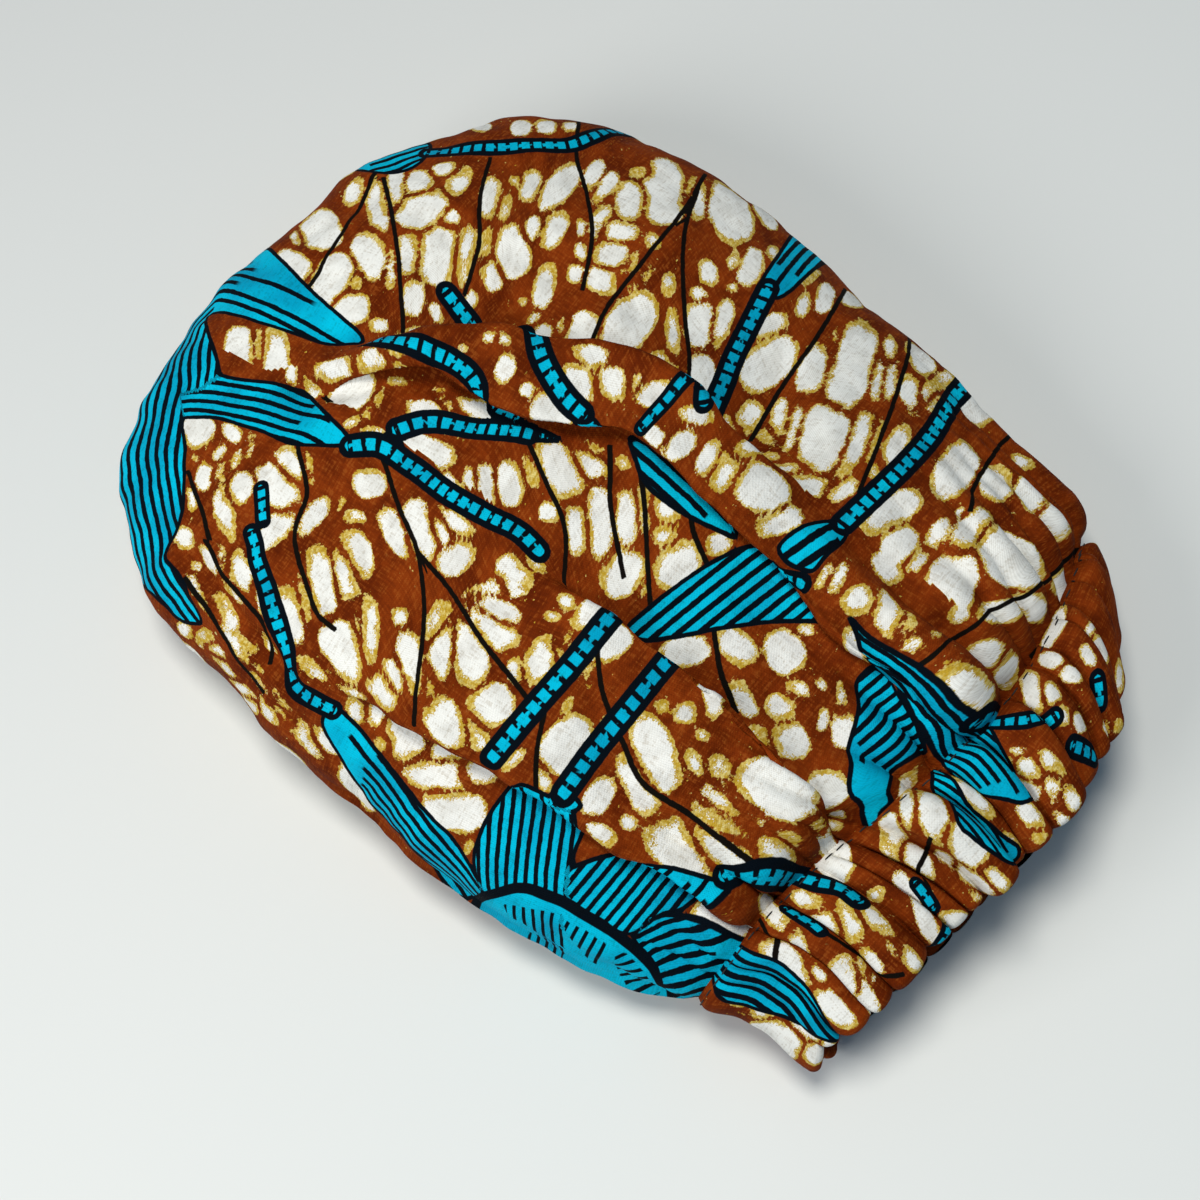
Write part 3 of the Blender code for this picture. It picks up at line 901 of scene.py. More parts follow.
VEINS = [
    (CROWN, ((380, 168), (350, 220), (310, 285))),
    (CROWN, ((384, 180), (396, 240), (403, 330))),
    (CROWN, ((490, 160), (480, 200), (478, 250), (465, 292))),
    (CROWN, ((577, 120), (577, 160), (588, 200), (592, 240), (583, 287))),
    (CROWN, ((705, 175), (680, 215), (640, 265), (612, 300), (590, 345))),
    (CROWN, ((698, 190), (685, 230), (684, 300), (688, 392))),
    (RIGHT, ((845, 290), (815, 340), (780, 390), (752, 438))),
    (RIGHT, ((908, 338), (898, 390), (880, 440), (860, 490))),
    (RIGHT, ((1010, 435), (985, 468), (975, 485), (971, 508))),
    (RIGHT, ((1085, 552), (1040, 585), (990, 610), (960, 635), (920, 665))),
    (RIGHT, ((1085, 560), (1072, 590), (1058, 630), (1035, 655))),
    (MIDDLE, ((384, 462), (400, 510), (418, 553), (424, 600), (420, 660), (414, 722))),
    (MIDDLE, ((418, 553), (450, 590), (485, 645), (527, 698))),
    ((LEFT, BOX), ((298, 448), (306, 500), (295, 530), (305, 580), (318, 615), (333, 628))),
    ((LEFT, BOX), ((189, 474), (200, 505), (209, 538))),
    ((LEFT, BOX), ((206, 542), (222, 575), (244, 600), (262, 622), (271, 660))),
    ((LEFT, BOX), ((186, 580), (205, 606), (222, 634), (244, 668), (262, 690))),
    ((VALLEY,), ((530, 446), (545, 480), (563, 520), (567, 590))),
    ((VALLEY,), ((610, 450), (610, 500), (623, 574))),
    ((VALLEY,), ((633, 440), (645, 510), (650, 600))),
    ((VALLEY,), ((688, 490), (693, 530), (706, 562))),
    (MIDDLE, ((287, 344), (284, 365), (288, 384))),
    ((VALLEY,), ((318, 388), (330, 402), (348, 428))),
    ((BOX,), ((597, 650), (602, 690), (612, 720))),
    ((BOX,), ((544, 715), (537, 750), (536, 790))),
    ((BOX,), ((622, 740), (640, 780), (690, 815), (735, 850), (757, 868))),
    ((VALLEY,), ((714, 632), (720, 670), (735, 710))),
    ((HEM,), ((745, 900), (765, 930), (775, 960))),
    ((HEM,), ((820, 930), (860, 955), (900, 975))),
    ((HEM,), ((930, 840), (925, 880), (935, 915))),
]
print(len(LADDERS), "ladders and", len(VEINS), "veins")

# %% [markdown]
# ## The print: hatched shapes and a half sun
#
# Limbs and petals are turquoise with inked lines along their flow. Each line could be a path. A shape has
# one flow path instead, and its lines' pitch in millimetres, so that they all bend alike. The half sun at
# the lower edge is a plain disc with bands of dashes, which are such lines too.

# %% Hatched shapes and a half sun
Shape = namedtuple("Shape", "lanes pitch flow outline")
SHAPES = [
    Shape(CROWN, 3.4,
        ((200, 640), (150, 570), (135, 480), (150, 390), (180, 320), (215, 284), (262, 286), (318, 312),
         (372, 343)),
        ((262, 243), (310, 291), (372, 343), (325, 345), (293, 333), (260, 323), (206, 313), (213, 345),
         (222, 376), (212, 400), (181, 418), (186, 454), (184, 493), (182, 517), (163, 552), (184, 580),
         (206, 625), (180, 622), (150, 590), (110, 560), (95, 460), (120, 380), (180, 300), (225, 240))),
    Shape(CROWN, 3.4,
        ((140, 420), (180, 398), (240, 402), (300, 418), (350, 443)),
        ((150, 385), (200, 366), (222, 376), (251, 381), (286, 386), (307, 391), (328, 416), (352, 440),
         (342, 447), (296, 446), (268, 433), (240, 425), (212, 417), (181, 418), (150, 425))),
    Shape(CROWN, 3.2,
        ((432, 148), (350, 178)),
        ((350, 172), (390, 135), (416, 140), (433, 148), (421, 165), (377, 174))),
    Shape(RIGHT, 9.0,
        ((614, 432), (576, 420)),
        ((575, 406), (592, 415), (616, 433), (590, 433), (574, 424))),
    Shape((VALLEY,), 9.0,
        ((565, 440), (528, 430)),
        ((526, 426), (545, 431), (566, 441), (540, 441), (526, 440))),
    Shape(RIGHT, 3.4,
        ((812, 240), (762, 296)),
        ((796, 228), (835, 262), (795, 288), (780, 299), (764, 297), (757, 287), (780, 253))),
    Shape(RIGHT, 5.0,
        ((786, 566), (850, 524)),
        ((776, 548), (795, 529), (833, 519), (850, 526), (845, 540), (826, 555), (812, 574), (787, 564))),
    Shape((VALLEY, BOX), 3.7,
        ((778, 548), (624, 652)),
        ((620, 632), (661, 597), (703, 567), (741, 547), (775, 548), (805, 566), (822, 588), (850, 620),
         (780, 620), (722, 628), (684, 636), (644, 642))),
    Shape((VALLEY,), 3.2,
        ((632, 440), (738, 540)),
        ((625, 434), (650, 445), (688, 468), (716, 495), (742, 542), (703, 524), (676, 510), (642, 483))),
    Shape((RIDGE, VALLEY), 2.2,
        ((870, 650), (930, 700), (1022, 800)),
        ((845, 612), (880, 645), (922, 667), (973, 713), (980, 725), (990, 743), (1030, 803), (995, 796),
         (963, 781), (934, 753), (912, 716), (878, 668), (860, 640))),
    Shape((VALLEY,), 3.3,
        ((915, 700), (850, 770)),
        ((856, 680), (872, 664), (890, 680), (916, 724), (929, 755), (900, 763), (887, 789), (894, 802),
         (879, 818), (892, 846), (889, 866), (869, 838), (865, 804), (846, 790), (848, 747), (859, 710))),
    Shape((HEM,), 2.6,
        ((936, 776), (1018, 862)),
        ((928, 764), (948, 775), (968, 808), (1000, 834), (1024, 850), (1016, 868), (985, 848),
         (952, 822))),
    Shape((BOX, LEFT), 9.0,
        ((575, 806), (552, 792)),
        ((556, 786), (574, 796), (583, 806), (574, 812), (546, 800))),
    Shape((LEFT,), 3.2,
        ((480, 893), (405, 800), (366, 748), (335, 712)),
        ((326, 708), (338, 706), (367, 738), (398, 777), (430, 816), (455, 840), (470, 866), (486, 893),
         (470, 900), (450, 890), (409, 845), (370, 805), (345, 765), (321, 725))),
    Shape((HEM,), 4.2,
        ((700, 950), (846, 1045)),
        ((690, 925), (738, 942), (780, 962), (850, 1040), (815, 1036), (760, 1012), (720, 1002))),
    Shape((HEM,), 3.0,
        ((940, 730), (1030, 806)),
        ((958, 712), (985, 722), (1001, 748), (1016, 774), (1029, 798), (1032, 806), (1024, 805),
         (1000, 798), (965, 785), (938, 758))),
    Shape((LEFT, BOX), 3.1,
        ((530, 890), (528, 770)),
        ((472, 858), (489, 812), (517, 781), (546, 795), (575, 810), (579, 830), (570, 862), (572, 900),
         (567, 903), (521, 886), (483, 896))),
    Shape((LEFT, BOX), 3.1,
        ((590, 915), (668, 830)),
        ((568, 868), (600, 857), (661, 864), (715, 879), (732, 887), (715, 903), (684, 910), (661, 914),
         (628, 938), (567, 903), (560, 890))),
    Shape((LEFT, BOX), 3.1,
        ((640, 966), (750, 936)),
        ((628, 936), (661, 914), (692, 917), (738, 936), (780, 956), (846, 1040), (814, 1029), (741, 1004),
         (703, 998), (688, 1006), (661, 972))),
]

# A half-disc of a sun, plain but for bands of dashes along their flow
SUN_DISC = ((470, 905), (482, 893), (521, 882), (567, 899), (619, 931), (661, 970), (690, 1006),
            (640, 1030), (560, 1000), (500, 950))
SUN_BANDS = [
    Shape((LEFT, BOX), 3.2,
        ((533, 905), (541, 945)),
        ((503, 904), (518, 906), (540, 910), (562, 914), (568, 949), (553, 943), (543, 936), (531, 929),
         (521, 922), (508, 916))),
    Shape((LEFT, BOX), 3.0,
        ((545, 936), (549, 958)),
        ((528, 932), (545, 937), (566, 950), (562, 958), (540, 948), (528, 940))),
    Shape((LEFT, BOX), 3.1,
        ((588, 930), (577, 952)),
        ((563, 918), (572, 924), (586, 930), (595, 937), (608, 944), (597, 965), (583, 954), (570, 938),
         (562, 927))),
    Shape((LEFT, BOX), 2.9,
        ((612, 976), (650, 977)),
        ((615, 953), (626, 953), (636, 962), (645, 973), (652, 982), (662, 994), (640, 996), (628, 988),
         (621, 977), (617, 968))),
]
print(len(SHAPES), "hatched shapes, and", len(SUN_BANDS), "bands on the half-disc")

# %% [markdown]
# ## The crackle
#
# Wax that cracks before dyeing leaves white cells on the brown. A Voronoi texture makes cells all of one
# kind. So they are rounded ellipses, with five numbers each in the table: the middle's two pixels, half
# the length, half the width, and the way it points in degrees clockwise.

# %% The crackle's cells
CELLS = np.array([
    446, 130, 21, 10, 10, 479, 126, 10, 9, 0, 521, 128, 9, 7, 0, 546, 126, 9, 6, 0, 570, 125, 6, 5, 0,
    356, 191, 15, 8, -55, 377, 207, 22, 9, 80, 396, 184, 17, 8, 100, 419, 183, 12, 10, 0,
    446, 169, 12, 6, 0, 459, 181, 14, 9, -60, 422, 209, 23, 16, -40, 450, 218, 8, 7, 0, 490, 197, 18, 9, 95,
    504, 207, 12, 6, 100, 515, 181, 5, 4, 0, 530, 186, 13, 8, -65, 560, 186, 22, 11, -50,
    594, 175, 14, 8, -65, 605, 188, 16, 8, -55, 630, 200, 16, 13, -50, 602, 216, 19, 8, -65,
    619, 230, 17, 9, 5, 612, 256, 16, 11, 10, 602, 281, 14, 11, 20, 636, 267, 16, 11, -50,
    642, 173, 10, 6, 0, 581, 251, 8, 5, 90, 575, 274, 9, 7, 90, 581, 228, 7, 4, 90, 320, 230, 17, 15, -30,
    296, 237, 7, 5, 60, 292, 263, 20, 11, 35, 370, 254, 19, 15, 70, 332, 280, 24, 16, -50,
    355, 281, 9, 6, -60, 352, 308, 15, 14, 0, 407, 254, 18, 10, 95, 390, 267, 16, 6, 95,
    413, 298, 15, 9, 95, 438, 254, 25, 16, 95, 465, 254, 21, 9, -75, 486, 247, 17, 7, -65,
    491, 272, 16, 9, 75, 512, 251, 22, 16, 80, 534, 228, 13, 9, -60, 553, 228, 17, 11, -60,
    544, 286, 19, 9, -75, 534, 319, 7, 5, -60, 523, 302, 4, 4, 0, 379, 325, 8, 6, 0, 470, 302, 10, 6, -70,
    436, 313, 9, 5, 70, 416, 332, 16, 4, -8, 239, 352, 21, 13, 95, 257, 346, 15, 5, 95,
    276, 358, 25, 11, 92, 292, 365, 17, 5, 92, 336, 368, 19, 9, -18, 367, 360, 13, 11, -20,
    395, 351, 9, 4, 20, 402, 369, 7, 3, 10, 476, 338, 6, 6, 0, 490, 337, 6, 5, 0, 504, 339, 6, 6, 0,
    505, 368, 13, 8, -70, 526, 389, 6, 6, 0, 463, 348, 4, 4, 0, 582, 330, 17, 13, -55, 562, 330, 12, 5, -60,
    544, 333, 11, 7, 20, 630, 323, 26, 18, -45, 590, 355, 16, 9, 10, 579, 381, 19, 12, 45,
    612, 383, 15, 14, 20, 625, 361, 17, 7, 20, 635, 384, 9, 8, 0, 630, 414, 10, 9, 0, 551, 418, 18, 9, 20,
    353, 393, 22, 15, -40, 317, 397, 14, 6, 50, 377, 397, 10, 5, -70, 366, 412, 10, 5, -65,
    352, 422, 8, 4, -30, 425, 411, 15, 9, 10, 450, 405, 11, 5, 45, 481, 411, 20, 8, 12, 440, 391, 6, 5, 0,
    397, 382, 8, 4, 0, 376, 432, 12, 5, 5, 426, 451, 26, 12, 18, 200, 432, 18, 14, 60, 207, 447, 14, 5, -45,
    232, 433, 11, 7, 30, 218, 453, 9, 6, -50, 239, 454, 14, 4, -60, 249, 444, 12, 5, -75,
    204, 476, 13, 7, 95, 219, 472, 12, 4, -70, 290, 463, 16, 11, 60, 308, 465, 13, 4, 85,
    277, 486, 22, 14, 55, 240, 488, 15, 10, -60, 192, 500, 10, 4, 80, 225, 514, 26, 9, 85,
    275, 530, 25, 11, -45, 312, 516, 20, 9, -45, 340, 504, 8, 4, -60, 370, 484, 14, 12, 0,
    356, 518, 9, 7, 0, 419, 530, 25, 13, 80, 396, 533, 22, 10, 62, 441, 530, 17, 7, 60, 455, 523, 19, 8, 35,
    470, 488, 17, 6, 85, 451, 481, 12, 5, 45, 486, 488, 20, 9, 85, 510, 483, 19, 12, 88,
    534, 472, 15, 9, 60, 558, 469, 27, 17, 50, 590, 465, 20, 12, 45, 595, 451, 14, 6, 30, 549, 512, 9, 9, 0,
    577, 530, 22, 9, 88, 600, 518, 34, 11, 88, 628, 517, 22, 11, 90, 644, 509, 20, 8, 90,
    619, 462, 10, 6, 20, 456, 558, 17, 13, -40, 514, 576, 19, 13, 65, 535, 563, 12, 6, 30,
    623, 574, 21, 17, -40, 484, 590, 20, 7, -15, 494, 608, 22, 9, 25, 489, 630, 28, 12, 36,
    358, 554, 22, 12, 72, 345, 574, 22, 11, 78, 322, 582, 30, 13, 80, 307, 597, 21, 6, 80,
    239, 570, 19, 11, 70, 225, 556, 19, 5, 85, 184, 537, 10, 8, 45, 195, 566, 6, 5, 0, 290, 616, 25, 10, 78,
    263, 604, 17, 5, 72, 227, 614, 18, 8, 70, 370, 630, 29, 8, 87, 358, 624, 13, 3, 85,
    342, 651, 27, 16, 70, 400, 616, 7, 7, 0, 438, 620, 18, 9, -65, 567, 602, 9, 7, 60, 553, 616, 7, 5, 0,
    588, 612, 17, 10, -40, 565, 646, 12, 10, -30, 205, 639, 9, 8, 60, 184, 630, 8, 5, 50,
    237, 646, 20, 14, 60, 272, 651, 16, 5, 78, 319, 675, 24, 6, 42, 332, 670, 14, 4, 50,
    411, 663, 25, 11, 80, 429, 681, 17, 6, 88, 395, 675, 15, 8, 65, 382, 693, 18, 10, 60,
    377, 711, 18, 8, -60, 358, 714, 15, 8, 65, 347, 691, 18, 4, 15, 382, 744, 7, 6, 0, 406, 736, 22, 15, 75,
    443, 651, 27, 12, -72, 468, 651, 30, 15, 78, 542, 661, 22, 14, -60, 516, 670, 13, 7, 85,
    544, 688, 18, 5, -45, 535, 707, 11, 6, -30, 491, 705, 20, 17, -30, 446, 723, 23, 16, 60,
    475, 732, 17, 9, 65, 456, 749, 18, 8, 20, 437, 775, 28, 15, 10, 477, 772, 18, 11, -10,
    453, 811, 26, 18, 10, 469, 846, 7, 4, -60, 307, 739, 21, 8, 50, 325, 742, 16, 7, 45,
    358, 788, 23, 8, 50, 268, 711, 13, 6, 50, 275, 697, 18, 4, 50, 251, 704, 10, 5, 50,
    570, 746, 26, 22, -45, 544, 781, 11, 6, 70, 514, 760, 14, 5, -40, 586, 675, 12, 7, -50,
    567, 707, 8, 4, -60, 602, 725, 9, 4, -60, 598, 797, 18, 11, -57, 640, 792, 34, 11, 60,
    630, 822, 8, 7, 0, 602, 834, 14, 8, 35, 664, 192, 27, 18, 88, 640, 270, 18, 10, -50,
    701, 200, 18, 7, -75, 730, 209, 29, 18, 72, 688, 190, 15, 4, -60, 766, 215, 14, 6, 40,
    749, 200, 8, 4, 40, 653, 242, 8, 6, 60, 708, 273, 12, 8, 80, 699, 294, 8, 7, 0, 669, 284, 10, 6, 90,
    736, 259, 9, 6, -50, 751, 265, 17, 11, -70, 773, 252, 6, 5, 90, 733, 288, 5, 4, 0, 812, 276, 10, 4, -40,
    825, 297, 14, 8, -75, 803, 305, 10, 6, -70, 852, 301, 10, 8, 30, 673, 333, 18, 6, 85,
    699, 326, 20, 12, 88, 722, 322, 20, 8, -72, 770, 326, 16, 9, -25, 768, 364, 28, 17, -42,
    701, 374, 20, 12, 95, 662, 368, 15, 12, 60, 813, 368, 22, 12, -70, 835, 349, 18, 3, -80,
    852, 364, 34, 18, -75, 890, 349, 11, 6, 90, 877, 379, 20, 5, -80, 890, 381, 18, 5, -80,
    920, 358, 17, 11, 70, 911, 395, 17, 9, 75, 935, 387, 14, 8, -40, 933, 399, 14, 6, -60,
    979, 408, 14, 8, 50, 780, 418, 18, 8, -80, 793, 431, 20, 7, -80, 749, 418, 15, 11, -50,
    722, 425, 16, 8, 20, 697, 414, 16, 8, 10, 825, 437, 29, 22, -65, 855, 444, 28, 10, -62,
    876, 439, 20, 4, -75, 896, 446, 20, 9, -65, 875, 469, 8, 5, -70, 768, 437, 11, 6, 30,
    753, 446, 13, 5, 20, 773, 458, 10, 4, 15, 787, 467, 15, 5, 8, 808, 485, 16, 10, 15,
    764, 488, 24, 19, 30, 726, 471, 18, 11, -55, 709, 458, 17, 8, -60, 678, 446, 17, 10, -35,
    655, 437, 11, 8, 40, 650, 395, 17, 9, -20, 629, 414, 10, 8, 0, 843, 490, 14, 7, -30,
    780, 521, 22, 11, -20, 718, 544, 12, 9, -30, 891, 511, 25, 13, -28, 956, 469, 32, 16, -52,
    996, 483, 19, 15, -60, 1027, 498, 21, 15, -60, 1022, 462, 11, 6, 20, 1057, 517, 21, 17, 50,
    971, 533, 17, 13, -50, 961, 513, 8, 4, -20, 937, 534, 17, 7, -50, 901, 544, 18, 14, -45,
    887, 567, 15, 10, 55, 917, 563, 18, 6, -45, 952, 582, 31, 22, -65, 1015, 555, 36, 28, 15,
    1059, 584, 18, 12, -45, 1028, 605, 22, 13, 20, 996, 613, 27, 9, -5, 961, 613, 13, 8, -35,
    837, 578, 14, 6, -60, 824, 577, 13, 5, -60, 860, 599, 16, 13, -30, 887, 609, 19, 11, 80,
    908, 624, 13, 7, -60, 916, 643, 14, 9, -10, 935, 634, 8, 4, 0, 986, 655, 16, 14, -30,
    1007, 673, 21, 9, -68, 1051, 659, 11, 8, 0, 1099, 652, 15, 11, -60, 1059, 621, 17, 6, -65,
    665, 508, 15, 11, 20, 665, 536, 13, 9, 20, 678, 565, 23, 17, -55, 644, 586, 8, 4, -80,
    685, 651, 21, 13, -10, 737, 646, 19, 13, 40, 785, 651, 19, 17, 60, 805, 630, 8, 5, 0,
    855, 650, 21, 9, 75, 611, 643, 20, 13, -40, 586, 680, 10, 7, -40, 562, 651, 13, 11, -60,
    799, 688, 11, 6, 10, 780, 707, 13, 11, 20, 743, 703, 20, 10, 65, 713, 692, 17, 7, 50,
    757, 734, 27, 7, 38, 789, 743, 17, 15, 60, 841, 695, 12, 4, 85, 823, 720, 10, 5, -80,
    843, 730, 17, 10, 90, 820, 684, 6, 5, 0, 826, 791, 20, 14, 40, 776, 789, 34, 22, 20, 685, 713, 10, 9, 0,
    662, 706, 7, 6, 0, 703, 736, 6, 5, 0, 694, 762, 11, 7, 60, 720, 767, 11, 9, 60, 655, 753, 34, 17, 68,
    722, 803, 20, 8, 40, 747, 805, 26, 7, 40, 718, 824, 27, 12, 32, 715, 849, 29, 14, 38,
    678, 849, 35, 20, 45, 780, 854, 18, 11, 35, 828, 852, 22, 12, 50, 787, 835, 15, 5, 30,
    818, 824, 8, 5, 0, 835, 824, 8, 6, 0, 837, 814, 6, 3, 0, 875, 896, 7, 6, 0, 726, 919, 25, 8, 25,
    770, 910, 20, 8, 55, 808, 902, 17, 8, 25, 827, 921, 17, 8, 45, 849, 923, 22, 10, 70,
    877, 921, 25, 7, 50, 789, 963, 28, 11, 52, 799, 944, 15, 6, 60, 818, 975, 9, 5, 50,
    850, 986, 25, 14, 60, 833, 1009, 22, 10, 45, 864, 1005, 20, 9, 60, 866, 979, 15, 8, 30,
    877, 988, 9, 6, 0, 776, 1038, 24, 13, 35, 761, 1013, 18, 8, 10, 799, 1026, 18, 6, 25,
    818, 1055, 16, 8, -40, 833, 1048, 13, 7, 20, 908, 791, 22, 6, 75, 933, 810, 32, 12, 78,
    967, 845, 21, 17, 60, 912, 852, 28, 11, 55, 894, 833, 17, 9, 55, 908, 891, 17, 7, 55,
    927, 921, 25, 9, 75, 973, 795, 26, 7, 45, 967, 875, 25, 6, 35, 967, 923, 14, 8, -20, 1004, 764, 9, 7, 0,
    1028, 770, 14, 10, 60, 1019, 753, 8, 5, 0, 1051, 764, 16, 8, 45, 1028, 789, 12, 8, 60,
    1055, 787, 14, 8, 70, 1063, 715, 9, 6, 90, 1101, 741, 12, 6, 90, 1116, 730, 10, 6, -70,
    1120, 676, 14, 4, 90, 1051, 692, 10, 8, 60, 1032, 688, 21, 9, 80, 971, 690, 29, 20, 45,
    1072, 674, 10, 8, 0, 1091, 628, 8, 4, -60, 1093, 573, 12, 5, 60, 1031, 815, 14, 8, 50,
    1010, 842, 12, 6, 40, 998, 881, 15, 7, 45, 1040, 838, 9, 6, 30, 912, 960, 14, 7, 50,
    890, 945, 12, 5, 55, 935, 972, 9, 6, 40, 803, 1012, 20, 8, 45, 739, 1001, 16, 7, 35,
    1069, 797, 13, 8, 50, 1064, 822, 8, 5, 40, 1097, 734, 11, 6, 60, 1080, 722, 9, 5, 70,
    1110, 700, 9, 5, 80, 1088, 655, 10, 6, 60, 870, 960, 16, 6, 50, 948, 862, 13, 6, 50,
    985, 905, 12, 5, 45, 760, 985, 12, 5, 40, 200, 598, 24, 4, 56, 232, 652, 20, 4, 52, 222, 664, 18, 3, 48,
    252, 660, 24, 4, 58, 262, 684, 20, 4, 52, 280, 712, 16, 4, 46, 214, 650, 12, 5, 45, 243, 690, 14, 4, 45,
    209, 560, 14, 4, 62, 232, 590, 14, 4, 56,
], float).reshape(-1, 5)
CELL_ROUNDNESS = 2.5
CELL_GROWTH = 1.27
CELL_DEPTH_LIMIT = -8.0
CRACK_HALF_WIDTH = 0.55

# Where the photograph shows nothing, like cells are scattered on a lattice.
SCATTER_PITCH = (15.0, 10.5)
SCATTER_TURN = math.radians(36.0)
SCATTER_SHARE = 0.86
SCATTER_JITTER = 3.2
SCATTER_SIZES = ((4.2, 0.55), (9.0, 0.85))
SCATTER_TURN_SPREAD = 0.35
SCATTER_CLEARANCE = 4.0
LATTICE_REACH = 360
mean_cell = CELLS[:, 2:4].mean(axis=0).round(1)
print(len(CELLS), "cells, on average", mean_cell[0], "by", mean_cell[1], "pixels from middle to edge")

# %% [markdown]
# ## Pinning
#
# A motif drawn in pixels has to find its place on the flat cloth. Projecting it straight down would smear
# it down the sides. Pinning reads how pixels and flat cloth change together from one point of the grid to
# the next, so that a motif keeps its shape where the cloth slopes away.

# %% Pinning pixels to the flat cloth
EDGE_ON_LIMIT = 0.16
LEAST_PIXEL_AREA = 0.5
OTHER_LANE = 1e9
CARRIED_ON = 14.0


def grid_steps(values):
    """The change from one row and one column of a grid to the next, as the columns of small matrices."""
    along = np.gradient(values, axis=0)
    around = (np.roll(values, -1, axis=1) - np.roll(values, 1, axis=1)) / 2
    return np.stack([along, around], axis=-1)


class Guide:
    """The part of a cloth that the camera sees, with its pixels and its places on the flat cloth."""

    def __init__(self, cloth):
        """Keeps the points that aren't nearly edge on. A matrix at each turns a step in pixels into one on
        the flat cloth: the flat steps times the inverse of the pixel steps."""
        shown = to_photo(cloth.points - CENTRE)
        pixel_steps = grid_steps(shown)
        edge_on = np.einsum("...i,i", outward(cloth.points), view_back)
        wide = np.abs(np.linalg.det(pixel_steps)) > LEAST_PIXEL_AREA
        usable = (edge_on > EDGE_ON_LIMIT) & cloth.upper & wide
        usable[0] = usable[-1] = False
        self.shown, self.flat, self.lane = shown[usable], cloth.flat[usable], cloth.lane[usable]
        self.to_flat = grid_steps(cloth.flat)[usable] @ np.linalg.inv(pixel_steps[usable])

    def nearest(self, pixel, lanes):
        """Which seen point on the lanes is nearest to a pixel, and how many pixels away it is."""
        away = ((self.shown - pixel) ** 2).sum(axis=1) + np.where(np.isin(self.lane, lanes), 0.0, OTHER_LANE)
        return np.argmin(away), np.sqrt(away.min())

    def pin(self, pixels, lanes):
        """Places on the flat cloth for pixels; past the lanes' edge the cloth is carried on straight."""
        found = []
        for pixel in np.asarray(pixels, float):
            at, _ = self.nearest(pixel, lanes)
            step = self.to_flat[at] @ (pixel - self.shown[at])
            length = np.linalg.norm(step)
            found.append(self.flat[at] + step * min(1.0, CARRIED_ON / max(length, 1e-6)))
        return np.array(found)


crown_guide, casing_guide = Guide(crown), Guide(casing)
print("seen points: crown", len(crown_guide.flat), "and casing", len(casing_guide.flat))

# %% [markdown]
# ## Distances
#
# A dyed edge is drawn from the distance to it: below 0 inside, above 0 outside. Filling faces with
# colours would show the squares. Distances change evenly between points, so edges stay smooth.

# %% Distances to paths and outlines
PATH_PIECES = 5
CORNER_CUT = 0.18
CORNER_ROUNDS = 2


def smooth_path(points):
    """A finer polyline on a smooth curve through the points."""
    points = np.asarray(points, float)
    if len(points) < 3:
        return points
    known = np.concatenate([[0], np.cumsum(np.linalg.norm(np.diff(points, axis=0), axis=1))])
    finer = np.linspace(0, len(points) - 1, (len(points) - 1) * PATH_PIECES + 1)
    at = np.interp(finer, np.arange(len(points)), known)
    return np.stack([smooth_through(at, known, column) for column in points.T], axis=1)


def along_path(points, path):
    """For each point its distance to a polyline, its signed distance, and how far along it is. The ends are
    carried on straight for the last two."""
    nearest = np.full(len(points), np.inf)
    signed, along = np.zeros(len(points)), np.zeros(len(points))
    so_far, last = 0.0, len(path) - 2
    for i, (a, b) in enumerate(zip(path[:-1], path[1:])):
        step = b - a
        length = max(np.linalg.norm(step), 1e-6)
        free = ((points - a) @ step) / length ** 2
        t = np.clip(free, 0.0, 1.0)
        away = np.linalg.norm(points - a - t[:, None] * step, axis=1)
        side = ((points - a)[:, 0] * step[1] - (points - a)[:, 1] * step[0]) / length
        reach = np.where((free > 1) & (i == last) | (free < 0) & (i == 0), free, t)
        closer = away < nearest
        signed = np.where(closer, np.where(reach == t, np.where(side < 0, -away, away), side), signed)
        along = np.where(closer, so_far + reach * length, along)
        nearest = np.minimum(nearest, away)
        so_far += length
    return nearest, signed, along


def outline_distance(points, outline):
    """Distance to a closed outline, below 0 inside, where a ray to one side crosses it an odd number of
    times."""
    closed = np.concatenate([outline, outline[:1]])
    nearest = distance_to_path(points, closed)
    inside = np.zeros(len(points), bool)
    for a, b in zip(closed[:-1], closed[1:]):
        step = b - a
        crosses = (a[1] > points[:, 1]) != (b[1] > points[:, 1])
        with np.errstate(divide="ignore", invalid="ignore"):
            meets = a[0] + (points[:, 1] - a[1]) * step[0] / step[1]
        inside ^= crosses & (points[:, 0] < meets)
    return np.where(inside, -nearest, nearest)


def rounded_outline(outline):
    """A closed outline with its corners cut, so that an outline of few points turns softly."""
    near, far = 1 - CORNER_CUT, CORNER_CUT
    for _ in range(CORNER_ROUNDS):
        after = np.roll(outline, -1, axis=0)
        pairs = np.stack([outline * near + after * far, outline * far + after * near], axis=1)
        outline = pairs.reshape(-1, 2)
    return outline


square = np.array([(0.0, 0.0), (10.0, 0.0), (10.0, 10.0), (0.0, 10.0)])
to_edge = outline_distance(square.mean(axis=0)[None], square)[0]
print("the middle of a 10 mm square is", to_edge, "mm from its outline")

# %% [markdown]
# ## Laying the print on the cloth
#
# On real cotton the dyes go on one over another: crackle, veins, blue shapes, ladders. One colour for
# each point would mix them for good. So each kind gets fields of its own, and the material lays them over
# each other.

# %% The print's fields
FAR_AWAY = 60.0
MOTIF_MARGIN = 5.0


